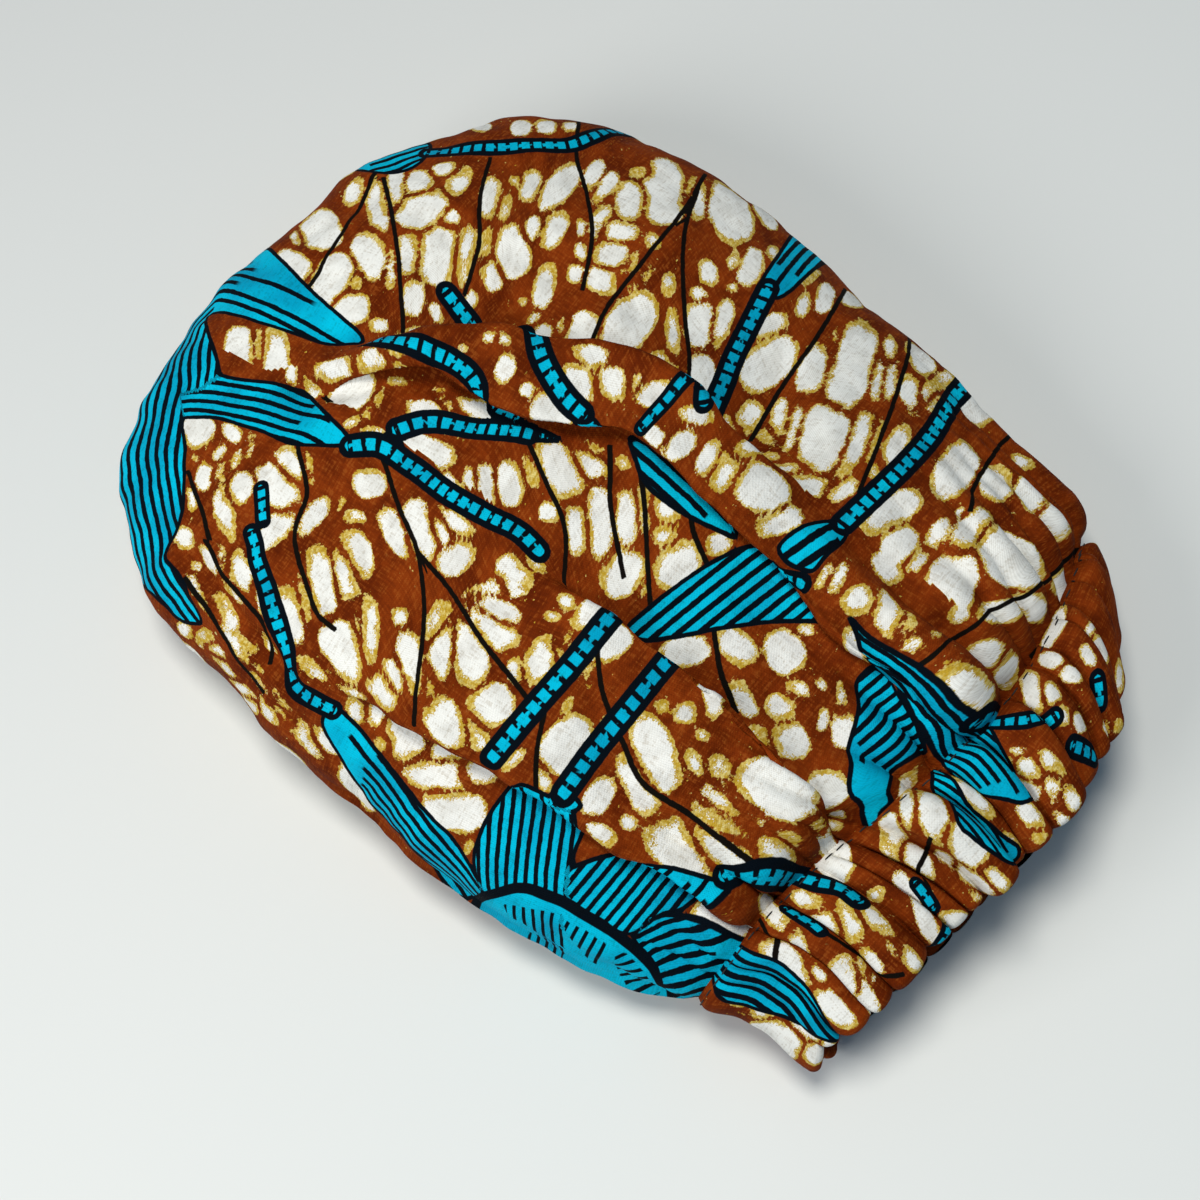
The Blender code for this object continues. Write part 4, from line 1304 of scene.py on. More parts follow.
class Print:
    """The print's fields at each point of a cloth, worked out motif by motif near each motif only."""

    def __init__(self, cloth, guide, seed):
        """Every field starts far from any motif."""
        self.guide, self.random = guide, np.random.default_rng(seed)
        self.flat, self.lane = cloth.flat.reshape(-1, 2), cloth.lane.ravel()
        count = len(self.flat)
        self.fields = {name: np.full(count, FAR_AWAY) for name in ("blue", "ladder", "line", "sun", "band")}
        self.fields.update({name: np.zeros(count) for name in ("hatch", "comb", "rung", "line_side", "dash")})
        self.best, self.second = np.full(count, -FAR_AWAY), np.full(count, -FAR_AWAY)

    def lanes_here(self, lanes):
        """Those of the lanes that this cloth has."""
        return [lane for lane in lanes if lane in self.lane]

    def near(self, lanes, path, margin=MOTIF_MARGIN):
        """Which points lie in the box round a motif, on its lanes."""
        low, high = path.min(axis=0) - margin, path.max(axis=0) + margin
        inside = ((self.flat > low) & (self.flat < high)).all(axis=1)
        return np.flatnonzero(inside & np.isin(self.lane, lanes))

    def keep(self, name, where, away, **others):
        """Takes a motif's distance, and what belongs to it, where it is nearer than the motifs before it."""
        chosen = away < self.fields[name][where]
        for other, values in others.items():
            self.fields[other][where[chosen]] = values[chosen]
        self.fields[name][where[chosen]] = away[chosen]


prints = [Print(crown, crown_guide, seed=11), Print(casing, casing_guide, seed=12)]
print("a print's fields are", sorted(prints[0].fields))

# %% [markdown]
# ## Shapes on the cloth
#
# Outlines of few points look cut with scissors, so their corners are rounded once pinned. Hatching is the
# signed distance from the flow over the pitch, and a half: whole in the middle of each line. How far
# along the flow a point lies says where a line stops.

# %% Shapes on the cloth
def lay_shapes(dyes):
    """Each shape's distance, its hatching and how far along its flow each point is."""
    for shape in SHAPES:
        lanes = dyes.lanes_here(shape.lanes)
        if lanes:
            outline = rounded_outline(dyes.guide.pin(shape.outline, lanes))
            flow = smooth_path(dyes.guide.pin(shape.flow, lanes))
            where = dyes.near(lanes, outline)
            flat = dyes.flat[where]
            _, signed, along = along_path(flat, flow)
            total = np.linalg.norm(np.diff(flow, axis=0), axis=1).sum()
            dyes.keep("blue", where, outline_distance(flat, outline),
                      hatch=signed / shape.pitch + 0.5, comb=along / total)


def lay_sun(dyes):
    """The half-disc's distance, and its bands' distances and dashes."""
    lanes = dyes.lanes_here((LEFT, BOX))
    if lanes:
        disc = rounded_outline(dyes.guide.pin(SUN_DISC, lanes))
        where = dyes.near(lanes, disc)
        dyes.keep("sun", where, outline_distance(dyes.flat[where], disc))
        for band in SUN_BANDS:
            outline = dyes.guide.pin(band.outline, lanes)
            where = dyes.near(lanes, outline)
            flat = dyes.flat[where]
            side = along_path(flat, dyes.guide.pin(band.flow, lanes))[1]
            dyes.keep("band", where, outline_distance(flat, outline), dash=side / band.pitch)


for dyes in prints:
    lay_shapes(dyes)
    lay_sun(dyes)
    print("blue lies on", int((dyes.fields["blue"] < 0).sum()), "points")

# %% [markdown]
# ## Ladders and veins on the cloth
#
# A vein drawn from its plain distance would break up, because that has a kink in the line's middle. The
# signed distance has none, and stays sharp on a coarse grid. Ladders are wide enough for the plain
# distance, scaled so that their rails are alike.

# %% Ladders and veins on the cloth
LINE_HALF_WIDTH = 0.72
SIDE_LIMIT = 4.0
LADDER_GROWTH = 0.35
LADDER_HALF_WIDTH = 3.7


def lay_ladders(dyes):
    """Each ladder's distance from its edge, and how far along it each point is."""
    for ladder in LADDERS:
        lanes = dyes.lanes_here(ladder.lanes)
        if lanes:
            path = smooth_path(dyes.guide.pin(ladder.path, lanes))
            half_width = ladder.half_width + LADDER_GROWTH
            where = dyes.near(lanes, path, MOTIF_MARGIN + half_width)
            away, _, along = along_path(dyes.flat[where], path)
            away = (away - half_width) * LADDER_HALF_WIDTH / half_width
            dyes.keep("ladder", where, away, rung=along)


def lay_veins(dyes):
    """Each vein's distance from its edge, and its signed distance from the middle."""
    for lanes, pixels in VEINS:
        lanes = dyes.lanes_here(lanes)
        if lanes:
            path = smooth_path(dyes.guide.pin(pixels, lanes))
            where = dyes.near(lanes, path)
            away, side, _ = along_path(dyes.flat[where], path)
            side = np.clip(side, -SIDE_LIMIT, SIDE_LIMIT)
            dyes.keep("line", where, away - LINE_HALF_WIDTH, line_side=side)


for dyes in prints:
    lay_ladders(dyes)
    lay_veins(dyes)
    print("ladders lie on", int((dyes.fields["ladder"] < 0).sum()), "points")

# %% [markdown]
# ## Cells on the cloth
#
# Neighbouring cells stay apart by a thin brown crack. Filled one by one they would run together. Each
# point keeps its best and second best depth in the cells, and half their difference is its distance to
# the crack between two.

# %% Cells on the cloth
PIXELS_PER_MM = 3.16
MOST_STRETCH = 2.2
CELL_PIN_LIMIT = 9.0
CELL_BOX = 1.5


def cell_axes(length, width, turn):
    """The half axes of an ellipse at a turn in radians, as the columns of a matrix."""
    return np.array([[length * math.cos(turn), -width * math.sin(turn)],
                     [length * math.sin(turn), width * math.cos(turn)]])


def add_cell(dyes, lane, middle, axes):
    """One rounded ellipse: 0 at its edge and half its width at its middle, from the sum of both
    coordinates to a power, to its root."""
    reach = np.abs(axes).sum(axis=1) * CELL_BOX
    inside = (np.abs(dyes.flat - middle) < reach).all(axis=1)
    where = np.flatnonzero(inside & (dyes.lane == lane))
    local = np.abs((dyes.flat[where] - middle) @ np.linalg.inv(axes).T) ** CELL_ROUNDNESS
    half_width = np.linalg.norm(axes, axis=0).min()
    depth = (1 - local.sum(axis=1) ** (1 / CELL_ROUNDNESS)) * half_width
    best, second = dyes.best[where], dyes.second[where]
    dyes.second[where] = np.where(depth > best, best, np.maximum(second, depth))
    dyes.best[where] = np.maximum(best, depth)


def lay_cells(dyes):
    """The table's cells that this cloth shows. Where it slopes away they are stretched, up to a limit."""
    guide, lanes = dyes.guide, np.unique(dyes.lane)
    for x, y, half_length, half_width, turn in CELLS:
        at, away = guide.nearest((x, y), lanes)
        if away < CELL_PIN_LIMIT:
            axes = CELL_GROWTH * cell_axes(half_length, half_width, math.radians(turn))
            middle = guide.flat[at] + guide.to_flat[at] @ (np.array([x, y]) - guide.shown[at])
            flat_axes = guide.to_flat[at] @ axes
            longest = MOST_STRETCH * np.linalg.norm(axes, axis=0) / PIXELS_PER_MM
            flat_axes = flat_axes * np.minimum(1.0, longest / np.linalg.norm(flat_axes, axis=0))
            add_cell(dyes, guide.lane[at], middle, flat_axes)


def scatter_cells(dyes):
    """Cells on a jittered lattice of the flat cloth, where the camera doesn't look."""
    along = np.array([math.cos(SCATTER_TURN), math.sin(SCATTER_TURN)])
    across = np.array([-along[1], along[0]])
    reach = int(LATTICE_REACH / min(SCATTER_PITCH))
    i, j = np.meshgrid(np.arange(-reach, reach), np.arange(-reach, reach), indexing="ij")
    shifted = i + 0.5 * (j % 2)
    middles = shifted[..., None] * along * SCATTER_PITCH[0] + j[..., None] * across * SCATTER_PITCH[1]
    random, count = dyes.random, middles[..., 0].size
    middles = middles.reshape(-1, 2) + random.uniform(-SCATTER_JITTER, SCATTER_JITTER, (count, 2))
    sizes = random.uniform(*SCATTER_SIZES, (count, 2))
    turns = SCATTER_TURN + random.normal(0.0, SCATTER_TURN_SPREAD, count)
    chosen = random.uniform(size=count) < SCATTER_SHARE
    low, high = dyes.flat.min(axis=0), dyes.flat.max(axis=0)
    within = ((middles > low) & (middles < high)).all(axis=1) & chosen
    for middle, (length, slimness), turn in zip(middles[within], sizes[within], turns[within]):
        if ((dyes.guide.flat - middle) ** 2).sum(axis=1).min() > SCATTER_CLEARANCE ** 2:
            nearest = np.argmin(((dyes.flat - middle) ** 2).sum(axis=1))
            add_cell(dyes, dyes.lane[nearest], middle, cell_axes(length, length * slimness, turn))


for dyes in prints:
    lay_cells(dyes)
    scatter_cells(dyes)
    crack = (dyes.best - dyes.second) / 2 - CRACK_HALF_WIDTH
    dyes.fields["cell"] = np.maximum(np.minimum(dyes.best, crack), CELL_DEPTH_LIMIT)
    print("cells lie on", int((dyes.fields["cell"] > 0).sum()), "points")

# %% [markdown]
# ## Making meshes
#
# Points could be added one by one, which is slow for a hundred thousand. Whole arrays go in at once, with
# the print's fields as attributes that the material reads.

# %% Making meshes
def add_cloth(name, points, quads, triangles, fields, rest, finish):
    """A smooth mesh from points in millimetres, with fields as attributes. The faces' corners are in one
    list, squares before triangles, and each face names its first."""
    mesh = bpy.data.meshes.new(name)
    corners = np.concatenate([quads.ravel(), triangles.ravel()])
    sizes = np.concatenate([np.full(len(quads), 4), np.full(len(triangles), 3)])
    starts = np.concatenate([[0], np.cumsum(sizes)[:-1]])
    mesh.vertices.add(len(points))
    mesh.vertices.foreach_set("co", ((points - CENTRE) * MM).astype(np.float32).ravel())
    mesh.loops.add(len(corners))
    mesh.loops.foreach_set("vertex_index", corners.astype(np.int32))
    mesh.polygons.add(len(sizes))
    mesh.polygons.foreach_set("loop_start", starts.astype(np.int32))
    mesh.update(calc_edges=True)
    mesh.validate()
    mesh.shade_smooth()
    for field, values in fields.items():
        attribute = mesh.attributes.new(field, "FLOAT", "POINT")
        attribute.data.foreach_set("value", values.astype(np.float32).ravel())
    attribute = mesh.attributes.new("rest", "FLOAT_VECTOR", "POINT")
    attribute.data.foreach_set("vector", rest.astype(np.float32).ravel())
    mesh.materials.append(finish)
    piece = bpy.data.objects.new(name, mesh)
    bpy.context.scene.collection.objects.link(piece)
    print(name, "has", len(mesh.vertices), "points and", int((sizes - 2).sum()), "triangles")
    return piece


print("the crown's mesh will have", rows * columns + 1, "points with", len(prints[0].fields), "fields each")

# %% [markdown]
# ## Colours
#
# Wax print dyes are few and strong: brown, mustard where wax let some dye through, turquoise, and a
# nearly black ink. Blender's own linear values are hard to compare, so they are given as they look.

# %% Colours
def srgb(red, green, blue):
    """A colour given as it looks, in 0 to 255, in Blender's linear values: a power of 2.4 but near black."""
    channels = np.array([red, green, blue]) / 255
    linear = np.where(channels <= 0.04045, channels / 12.92, ((channels + 0.055) / 1.055) ** 2.4)
    return (*(float(value) for value in linear), 1.0)


BROWN = srgb(132, 52, 8)
DARK_BROWN = srgb(96, 32, 2)
WORN_BROWN = srgb(168, 90, 32)
WHITE = srgb(242, 241, 234)
GREYED_WHITE = srgb(222, 220, 212)
MUSTARD = srgb(190, 154, 44)
PALE_MUSTARD = srgb(224, 204, 124)
BLUE = srgb(0, 190, 222)
DEEP_BLUE = srgb(0, 156, 192)
INK = srgb(4, 12, 20)
VEIN_INK = srgb(16, 12, 8)
# Painted shade: the colour that the dyes are darkened towards where the threads lie low.
PAINTED_THREAD_SHADE = srgb(206, 198, 188)
THREAD_INK = srgb(20, 16, 14)
# Painted shade and painted light: the board's two greys, mixed across it where the light falls off.
BOARD_IN_PAINTED_SHADE = srgb(193, 193, 190)
BOARD_IN_PAINTED_LIGHT = srgb(238, 239, 234)
print("the brown is", tuple(round(value, 3) for value in BROWN[:3]), "in linear values")

# %% [markdown]
# ## A short way to write nodes
#
# Materials are usually wired by hand in the shader editor. In a script that takes several lines a node,
# so this class adds a node and links it in one call.

# %% A short way to write nodes
STRIPE_SOFTNESS = 0.03


class Nodes:
    """A short way to write shader maths: each method adds a node and gives back its output."""

    def __init__(self, name):
        """A new material with its shader."""
        self.material = bpy.data.materials.new(name)
        self.material.use_nodes = True
        self.tree = self.material.node_tree
        self.shader = self.tree.nodes["Principled BSDF"]

    def feed(self, socket, value):
        """Sets a socket to a plain value, or links it to another node's output."""
        if isinstance(value, (int, float, tuple)):
            socket.default_value = value
        else:
            self.tree.links.new(value, socket)

    def add(self, kind, output, inputs=(), **settings):
        """Any node, with its settings and inputs by name or number."""
        node = self.tree.nodes.new(kind)
        for key, value in settings.items():
            setattr(node, key, value)
        for key, value in dict(inputs).items():
            self.feed(node.inputs[key], value)
        return node.outputs[output]

    def field(self, name, output="Fac"):
        """One of the mesh's attributes."""
        return self.add("ShaderNodeAttribute", output, attribute_name=name)

    def maths(self, operation, a, b=0.0, c=0.0):
        """An operation on up to three values. MULTIPLY_ADD is a times b, plus c."""
        return self.add("ShaderNodeMath", 0, {0: a, 1: b, 2: c}, operation=operation)

    def step(self, value, low, high, start=0.0, end=1.0):
        """A soft step from start, where the value is low, to end, where it is high."""
        return self.add("ShaderNodeMapRange", 0, {0: value, 1: low, 2: high, 3: start, 4: end},
                        interpolation_type="SMOOTHSTEP")

    def noise(self, place, scale, detail=2.0, roughness=0.5):
        """Noise between about -0.5 and 0.5, with so many lumps to a millimetre."""
        fac = self.add("ShaderNodeTexNoise", "Fac",
                       {"Vector": place, "Scale": scale, "Detail": detail, "Roughness": roughness})
        return self.maths("SUBTRACT", fac, 0.5)

    def stripes(self, value, half_width):
        """1 within half a width, as a share of the pitch, of each place where the value is whole, else 0."""
        away = self.maths("PINGPONG", value, 0.5)
        return self.step(away, half_width - STRIPE_SOFTNESS, half_width + STRIPE_SOFTNESS, 1.0, 0.0)

    def mix(self, amount, a, b, blend="MIX"):
        """Colour a where the amount is 0, and b, or its blend with a, where it is 1."""
        node = self.tree.nodes.new("ShaderNodeMix")
        node.data_type = "RGBA"
        node.blend_type = blend
        self.feed(node.inputs["Factor"], amount)
        self.feed(node.inputs[6], a)
        self.feed(node.inputs[7], b)
        return node.outputs[2]


print("short ways for nodes:", [name for name in vars(Nodes) if not name.startswith("_")])

# %% [markdown]
# ## The threads
#
# Plain cotton has a thread over and a thread under, about 16 to a centimetre, and no thread is even. A
# weave drawn as an image repeats itself. Noise that is drawn out along the warp and along the weft doesn't.

# %% The threads
THREAD_STRETCHES = ((0.22, 1.5, 0.22), (1.5, 0.22, 1.5))


def threads(n, place):
    """How far each thread stands out, about -0.5 to 0.5: noise drawn out along the warp, plus noise drawn
    out along the weft."""
    warp, weft = [n.add("ShaderNodeMapping", 0, {"Vector": place, "Scale": stretch})
                  for stretch in THREAD_STRETCHES]
    return n.maths("ADD", n.noise(warp, 1.0, 1.0, 0.5), n.noise(weft, 1.0, 1.0, 0.5))


cotton = Nodes("printed_cotton")
cotton_place = cotton.field("rest", "Vector")
cotton_grain = threads(cotton, cotton_place)
print("with its threads the cotton has", len(cotton.tree.nodes), "nodes")

# %% [markdown]
# ## The wax ground
#
# Where wax held, the cotton stays white. Where it leaked, a ragged mustard fringe shows, and the rest is
# mottled brown. A single colour ramp would give every cell the same rim, so noise moves the edge and
# changes the fringe's width.

# %% The wax ground
CREEP = 1.5
RAGGEDNESS = 1.5
FRINGE_WIDTH = 0.85
FRINGE_UNEVENNESS = 3.6
WEAR = 0.38


def wax_ground(n, place, grain):
    """Brown cloth, and white cells with a ragged mustard fringe that is wider here and there: the depth in
    a cell plus noise is mustard above 0, and white above the fringe's width."""
    inside = n.maths("MULTIPLY_ADD", n.noise(place, 0.30, 2.0, 0.5), CREEP, n.field("cell"))
    inside = n.maths("MULTIPLY_ADD", n.noise(place, 1.15, 3.0, 0.7), RAGGEDNESS, inside)
    uneven = n.maths("MAXIMUM", n.noise(place, 0.085, 1.0, 0.5), -0.12)
    fringe = n.maths("MULTIPLY_ADD", uneven, FRINGE_UNEVENNESS, FRINGE_WIDTH)
    dotted = n.maths("MULTIPLY_ADD", n.noise(place, 2.1, 1.0, 0.6), 1.8, inside)

    mottle = n.step(n.noise(place, 0.07, 4.0, 0.62), -0.16, 0.16)
    brown = n.mix(mottle, DARK_BROWN, BROWN)
    brown = n.mix(n.maths("MULTIPLY", n.step(grain, 0.02, 0.3), WEAR), brown, WORN_BROWN)
    specks = n.maths("MULTIPLY", n.step(n.noise(place, 0.62, 2.0, 0.6), 0.19, 0.23),
                     n.step(n.noise(place, 0.05, 1.0, 0.5), -0.02, 0.08))
    white = n.mix(n.step(n.noise(place, 0.12, 3.0, 0.6), -0.1, 0.2), WHITE, GREYED_WHITE)
    mustard = n.mix(n.step(n.noise(place, 0.9, 2.0, 0.6), -0.1, 0.2), MUSTARD, PALE_MUSTARD)
    ground = n.mix(specks, brown, mustard)
    ground = n.mix(n.step(inside, -0.05, 0.15), ground, mustard)
    return n.mix(n.step(n.maths("SUBTRACT", dotted, fringe), -0.12, 0.12), ground, white)


cotton_ground = wax_ground(cotton, cotton_place, cotton_grain)
print("with its wax ground it has", len(cotton.tree.nodes), "nodes")

# %% [markdown]
# ## Veins and hatched shapes
#
# Turquoise is printed with an inked outline and hatching. The lines could be a mesh each. Instead the
# distance across a shape's flow is folded into stripes, and each stripe ends at its own place, as a hand
# would stop it.

# %% Veins and hatched shapes
LINE_HALF_SHARE = 0.235
LEAST_LINE = 0.68
MORE_LINE = 0.34
INK_INSIDE = (-0.85, -0.6)
INK_OUTSIDE = (0.45, 0.7)


def veins(n, wobble, cloth):
    """Dark lines over the cloth: within half a width of the middle, and not past a vein's ends."""
    side = n.maths("ADD", n.maths("ABSOLUTE", n.field("line_side")), -LINE_HALF_WIDTH)
    thin = n.maths("MAXIMUM", side, n.maths("ADD", n.field("line"), -0.7))
    thin = n.step(n.maths("MULTIPLY_ADD", wobble, 0.55, thin), -0.12, 0.14, 1.0, 0.0)
    return n.mix(thin, cloth, VEIN_INK)


def hatched_shapes(n, wobble, turquoise, cloth):
    """Turquoise with inked lines and an inked edge. A random number for each line says how far along the
    flow it is drawn."""
    blue = n.maths("MULTIPLY_ADD", wobble, 0.35, n.field("blue"))
    line = n.maths("MULTIPLY_ADD", wobble, 0.16, n.field("hatch"))
    lot = n.add("ShaderNodeTexWhiteNoise", "Value", {"W": n.maths("ROUND", line)}, noise_dimensions="1D")
    reach = n.maths("MULTIPLY_ADD", lot, MORE_LINE, LEAST_LINE)
    drawn = n.step(n.maths("SUBTRACT", reach, n.field("comb")), -0.008, 0.008)
    hatch = n.maths("MULTIPLY", n.stripes(line, LINE_HALF_SHARE), drawn)
    shape = n.mix(hatch, turquoise, INK)
    shape = n.mix(n.step(blue, *INK_INSIDE), shape, INK)
    return n.mix(n.step(blue, *INK_OUTSIDE, 1.0, 0.0), cloth, shape)


cotton_wobble = cotton.noise(cotton_place, 0.5, 2.0, 0.6)
patches = cotton.step(cotton.noise(cotton_place, 0.05, 2.0, 0.5), -0.15, 0.2)
cotton_blue = cotton.mix(patches, BLUE, DEEP_BLUE)
cotton_print = veins(cotton, cotton_wobble, cotton_ground)
cotton_print = hatched_shapes(cotton, cotton_wobble, cotton_blue, cotton_print)
print("with veins and hatched shapes it has", len(cotton.tree.nodes), "nodes")

# %% [markdown]
# ## The half sun and the ladders
#
# A ladder is two inked rails with rungs between. Rungs could be shapes of their own, hundreds of them.
# The distance along a ladder gives them all. The dye has run in places, so that two windows join in the
# ladder's middle.

# %% The half sun and the ladders
RUNG_PITCH = 3.9
RUNG_HALF_SHARE = 0.18
RAIL = 2.0
RAIL_SOFTNESS = 0.15
DASH_HALF_SHARE = 0.19


def half_sun(n, wobble, turquoise, cloth):
    """A plain turquoise disc with an inked edge, and dashes in its bands."""
    sun = n.field("sun")
    band = n.maths("MULTIPLY_ADD", wobble, 0.5, n.field("band"))
    in_band = n.step(band, -0.2, 0.2, 1.0, 0.0)
    dashes = n.maths("MULTIPLY", n.stripes(n.field("dash"), DASH_HALF_SHARE), in_band)
    disc = n.mix(dashes, turquoise, INK)
    disc = n.mix(n.step(sun, -2.5, -2.2), disc, INK)
    return n.mix(n.step(sun, 0.6, 0.9, 1.0, 0.0), cloth, disc)


def ladders(n, place, wobble, turquoise, cloth):
    """Turquoise windows between inked rungs and rails. Along the middle, noise takes some rungs away."""
    ladder = n.maths("MULTIPLY_ADD", wobble, 0.35, n.field("ladder"))
    rung = n.maths("MULTIPLY_ADD", wobble, 0.5, n.field("rung"))
    rungs = n.stripes(n.maths("MULTIPLY", rung, 1 / RUNG_PITCH), RUNG_HALF_SHARE)
    middle = n.step(ladder, -3.1, -2.8, 1.0, 0.0)
    broken = n.maths("MULTIPLY", middle, n.step(n.noise(place, 0.4, 1.0, 0.5), 0.0, 0.05))
    rungs = n.maths("MULTIPLY", rungs, n.maths("SUBTRACT", 1.0, broken))
    windows = n.mix(rungs, turquoise, INK)
    windows = n.mix(n.step(ladder, -RAIL - RAIL_SOFTNESS, -RAIL + RAIL_SOFTNESS), windows, INK)
    return n.mix(n.step(ladder, 0.0, 0.25, 1.0, 0.0), cloth, windows)


cotton_print = half_sun(cotton, cotton_wobble, cotton_blue, cotton_print)
cotton_print = ladders(cotton, cotton_place, cotton_wobble, cotton_blue, cotton_print)
print("with its sun and ladders it has", len(cotton.tree.nodes), "nodes")

# %% [markdown]
# ## The weave
#
# Modelled threads would take millions of faces. A bump from two crossed waves looks the same at this
# distance, and a little painted shade between the threads keeps the dyes from looking painted on.

# %% The weave
THREAD_PITCH = 0.62
THREAD_HEIGHT = 0.00012
# Painted shade: how much the colour darkens where the weave and the threads lie low.
WEAVE_SHADE = 0.35
GRAIN_SHADE = 0.45


def weave_height(n, place):
    """A plain weave, 0 to 1: a sine wave across times one along, so that threads pass over and under."""
    parts = n.add("ShaderNodeSeparateXYZ", 0, {0: place}).node.outputs
    across = n.maths("SINE", n.maths("MULTIPLY", parts[0], 2 * math.pi / THREAD_PITCH))
    along = n.maths("SINE", n.maths("MULTIPLY", parts[1], 2 * math.pi / THREAD_PITCH))
    return n.maths("MULTIPLY_ADD", n.maths("MULTIPLY", across, along), 0.5, 0.5)


def finish_cotton(n, place, grain, cloth):
    """Paints shade into the dyes' colour where threads lie low, and gives the shader its colour, roughness
    and bump.
    """
    weave = weave_height(n, place)
    # Painted shade where the weave and the threads lie low, multiplied into the colour below.
    painted_shade = n.maths("MULTIPLY", n.step(weave, 0.1, 0.8, 1.0, 0.0), WEAVE_SHADE)
    painted_shade = n.maths("MULTIPLY_ADD", n.step(grain, -0.3, 0.0, 1.0, 0.0), GRAIN_SHADE, painted_shade)
    n.feed(n.shader.inputs["Base Color"], n.mix(painted_shade, cloth, PAINTED_THREAD_SHADE, "MULTIPLY"))
    n.feed(n.shader.inputs["Roughness"], n.maths("MULTIPLY_ADD", grain, 0.16, 0.8))
    n.feed(n.shader.inputs["Specular IOR Level"], 0.04)
    height = n.maths("MULTIPLY_ADD", grain, 1.5, weave)
    bump = n.add("ShaderNodeBump", 0, {"Strength": 0.7, "Distance": THREAD_HEIGHT, "Height": height})
    n.feed(n.shader.inputs["Normal"], bump)


finish_cotton(cotton, cotton_place, cotton_grain, cotton_print)
print("the finished cotton has", len(cotton.tree.nodes), "nodes and", len(cotton.tree.links), "links")

# %% [markdown]
# ## The crown and the casing as pieces
#
# Real crown and casing are one cloth, so one material serves both. The far end could be one face with
# hundreds of corners. A fan of triangles round one point closes it instead, with the last row's mean
# fields.

# %% The crown and the casing as pieces
around = np.arange(columns)
last_row = (rows - 1) * columns
tip = np.full(columns, rows * columns)
tip_fan = np.stack([last_row + around, last_row + (around + 1) % columns, tip], axis=1)
crown_fields = {name: np.append(values, values[-columns:].mean())
                for name, values in prints[0].fields.items()}
no_triangles = np.zeros((0, 3), int)

crown_piece = add_cloth("crown_cloth", np.vstack([crown.points.reshape(-1, 3), crown_tip]),
                        grid_faces(rows, columns), tip_fan, crown_fields,
                        np.vstack([crown.rest.reshape(-1, 3), crown_tip]), cotton.material)
casing_piece = add_cloth("casing_cloth", casing.points.reshape(-1, 3),
                         grid_faces(*casing.points.shape[:2], closed_rows=True), no_triangles,
                         prints[1].fields, casing.rest, cotton.material)
print("the far end is closed by", len(tip_fan), "triangles")

# %% [markdown]
# ## The thread as a piece
#
# The stitches' rings leave both ends of each capsule open. A cap could be one face of eight corners, but
# triangles suit every program that reads the mesh.

# %% The thread as a piece
thread = Nodes("dark_thread")
thread.feed(thread.shader.inputs["Base Color"], THREAD_INK)
thread.feed(thread.shader.inputs["Roughness"], 0.7)

first_ring = np.arange(0, len(stitch_points), STITCH_RINGS * STITCH_SIDES)
last_ring = first_ring + (STITCH_RINGS - 1) * STITCH_SIDES
corner = range(1, STITCH_SIDES - 1)
caps = [np.stack([first_ring, first_ring + k + 1, first_ring + k], axis=1) for k in corner]
caps += [np.stack([last_ring, last_ring + k, last_ring + k + 1], axis=1) for k in corner]
stitch_piece = add_cloth("gather_stitches", stitch_points, stitch_quads, np.concatenate(caps), {},
                         stitch_points, thread.material)
print("each stitch has", 2 * len(corner), "triangles in its caps")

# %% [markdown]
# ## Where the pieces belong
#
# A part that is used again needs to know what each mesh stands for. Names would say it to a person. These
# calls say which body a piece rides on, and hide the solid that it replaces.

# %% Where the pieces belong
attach(stitch_piece, "root")
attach(crown_piece, "root")
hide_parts("crown")
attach(casing_piece, "root")
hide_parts("gathered_casing")


# %% [markdown]
# ## The table
#
# The ground is a plain pale board. Light falls off across it, a little greyer towards the top of the view,
# and this is painted into its colour as painted light and painted shade. A vignette could be painted in
# afterwards. Two greys mixed across the board show from every side.

# %% The table
TABLE_SIZE = 4.0
# How fast the board's painted light gives way to painted shade per metre in x and y, and the painted light's
# share at the middle.
PAINTED_SHADE_PER_METRE = (-0.4, -1.05)
PAINTED_LIGHT_SHARE = 0.52


def add_table():
    """A flat board with painted light and painted shade: its grey is a plain slope of x and y."""
    bpy.ops.mesh.primitive_plane_add(size=TABLE_SIZE, location=(0.0, 0.0, 0.0))
    table = bpy.context.object
    table.name = "table_top"
    n = Nodes("white_table")
    place = n.add("ShaderNodeTexCoord", "Object")
    parts = n.add("ShaderNodeSeparateXYZ", 0, {0: place}).node.outputs
    # Painted light, less of it towards +x and +y: the board's colour stands in for the light's falloff.
    along_y = n.maths("MULTIPLY_ADD", parts[1], PAINTED_SHADE_PER_METRE[1], PAINTED_LIGHT_SHARE)
    painted_light = n.maths("MULTIPLY_ADD", parts[0], PAINTED_SHADE_PER_METRE[0], along_y)
    n.feed(n.shader.inputs["Base Color"], n.mix(painted_light, BOARD_IN_PAINTED_SHADE, BOARD_IN_PAINTED_LIGHT))
    n.feed(n.shader.inputs["Roughness"], 0.65)
    table.data.materials.append(n.material)
    return table


table = add_table()
print("the table is", table.dimensions.x, "m wide")

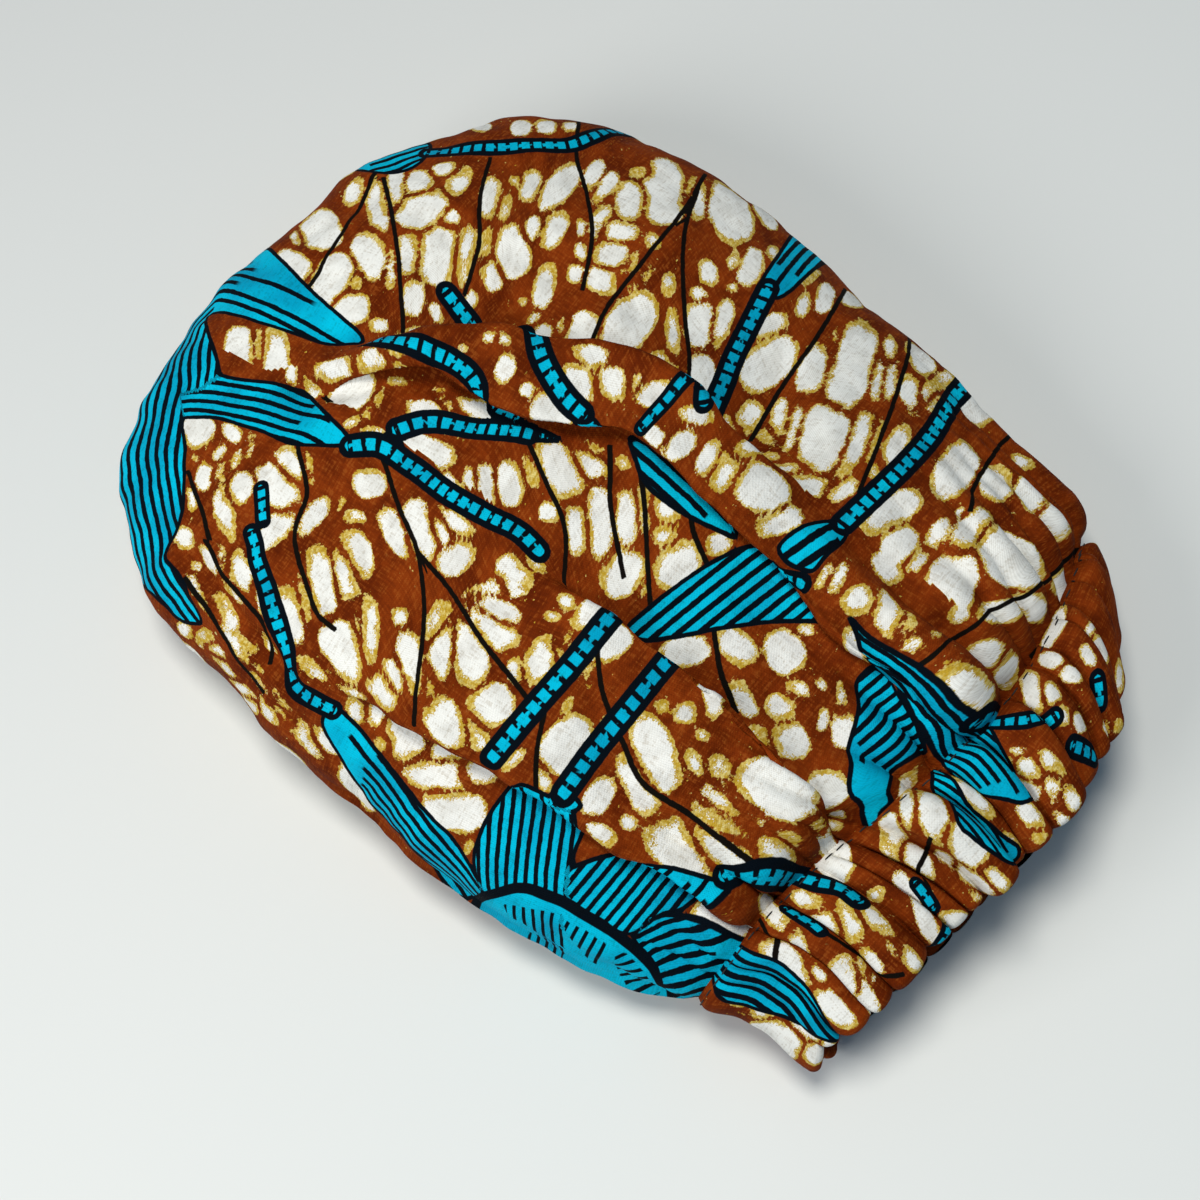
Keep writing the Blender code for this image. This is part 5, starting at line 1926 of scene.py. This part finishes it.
# %% [markdown]
# ## The light
#
# Daylight from a window and a bright ceiling lit the bonnet, with soft, blueish shadows. One sun lamp
# would make hard ones, so two discs are used, and the world fills in. The plain view transform keeps the
# dyes as bright as in the photograph.

# %% The light
LIT_SPOT = Vector((0.0, 0.0, 0.03))
ROOM_COLOUR = (0.46, 0.71, 1.0, 1.0)
ROOM_STRENGTH = 0.22


def add_lamp(name, place, size, power, colour):
    """A disc of light at a place in metres that faces the bonnet."""
    light = bpy.data.lights.new(name, "AREA")
    light.shape = "DISK"
    light.size = size
    light.energy = power
    light.color = colour
    lamp = bpy.data.objects.new(name, light)
    lamp.location = place
    lamp.rotation_euler = (LIT_SPOT - Vector(place)).to_track_quat("-Z", "Y").to_euler()
    bpy.context.scene.collection.objects.link(lamp)
    print(name, "lamp:", power, "watts,", round(Vector(place).length, 2), "m away")


add_lamp("ceiling", (0.03, 0.26, 1.68), 0.55, 19.0, (1.0, 0.98, 0.925))
add_lamp("window", (-1.10, 0.42, 0.92), 0.8, 10.8, (1.0, 0.99, 0.975))

world = bpy.data.worlds.new("soft_room")
world.use_nodes = True
room = world.node_tree.nodes["Background"]
room.inputs["Color"].default_value = ROOM_COLOUR
room.inputs["Strength"].default_value = ROOM_STRENGTH
bpy.context.scene.world = world
bpy.context.scene.view_settings.view_transform = "Standard"

# %% [markdown]
# ## The camera
#
# The place and direction worked out at the start go to a real camera. From farther off, with a longer
# lens, the bonnet would look flatter than in the photograph.

# %% The camera
camera = bpy.data.objects.new("camera", bpy.data.cameras.new("camera"))
camera.data.lens = CAMERA_LENS
camera.data.sensor_width = CAMERA_SENSOR
camera.location = camera_place * MM
camera.rotation_euler = Vector(tuple(-view_back)).to_track_quat("-Z", "Y").to_euler()
bpy.context.scene.collection.objects.link(camera)
bpy.context.scene.camera = camera
print("the camera is", round(camera.location.z, 3), "m above the table")

# %% [markdown]
# ## Sizes
#
# Cloth over a solid can grow past it unseen.
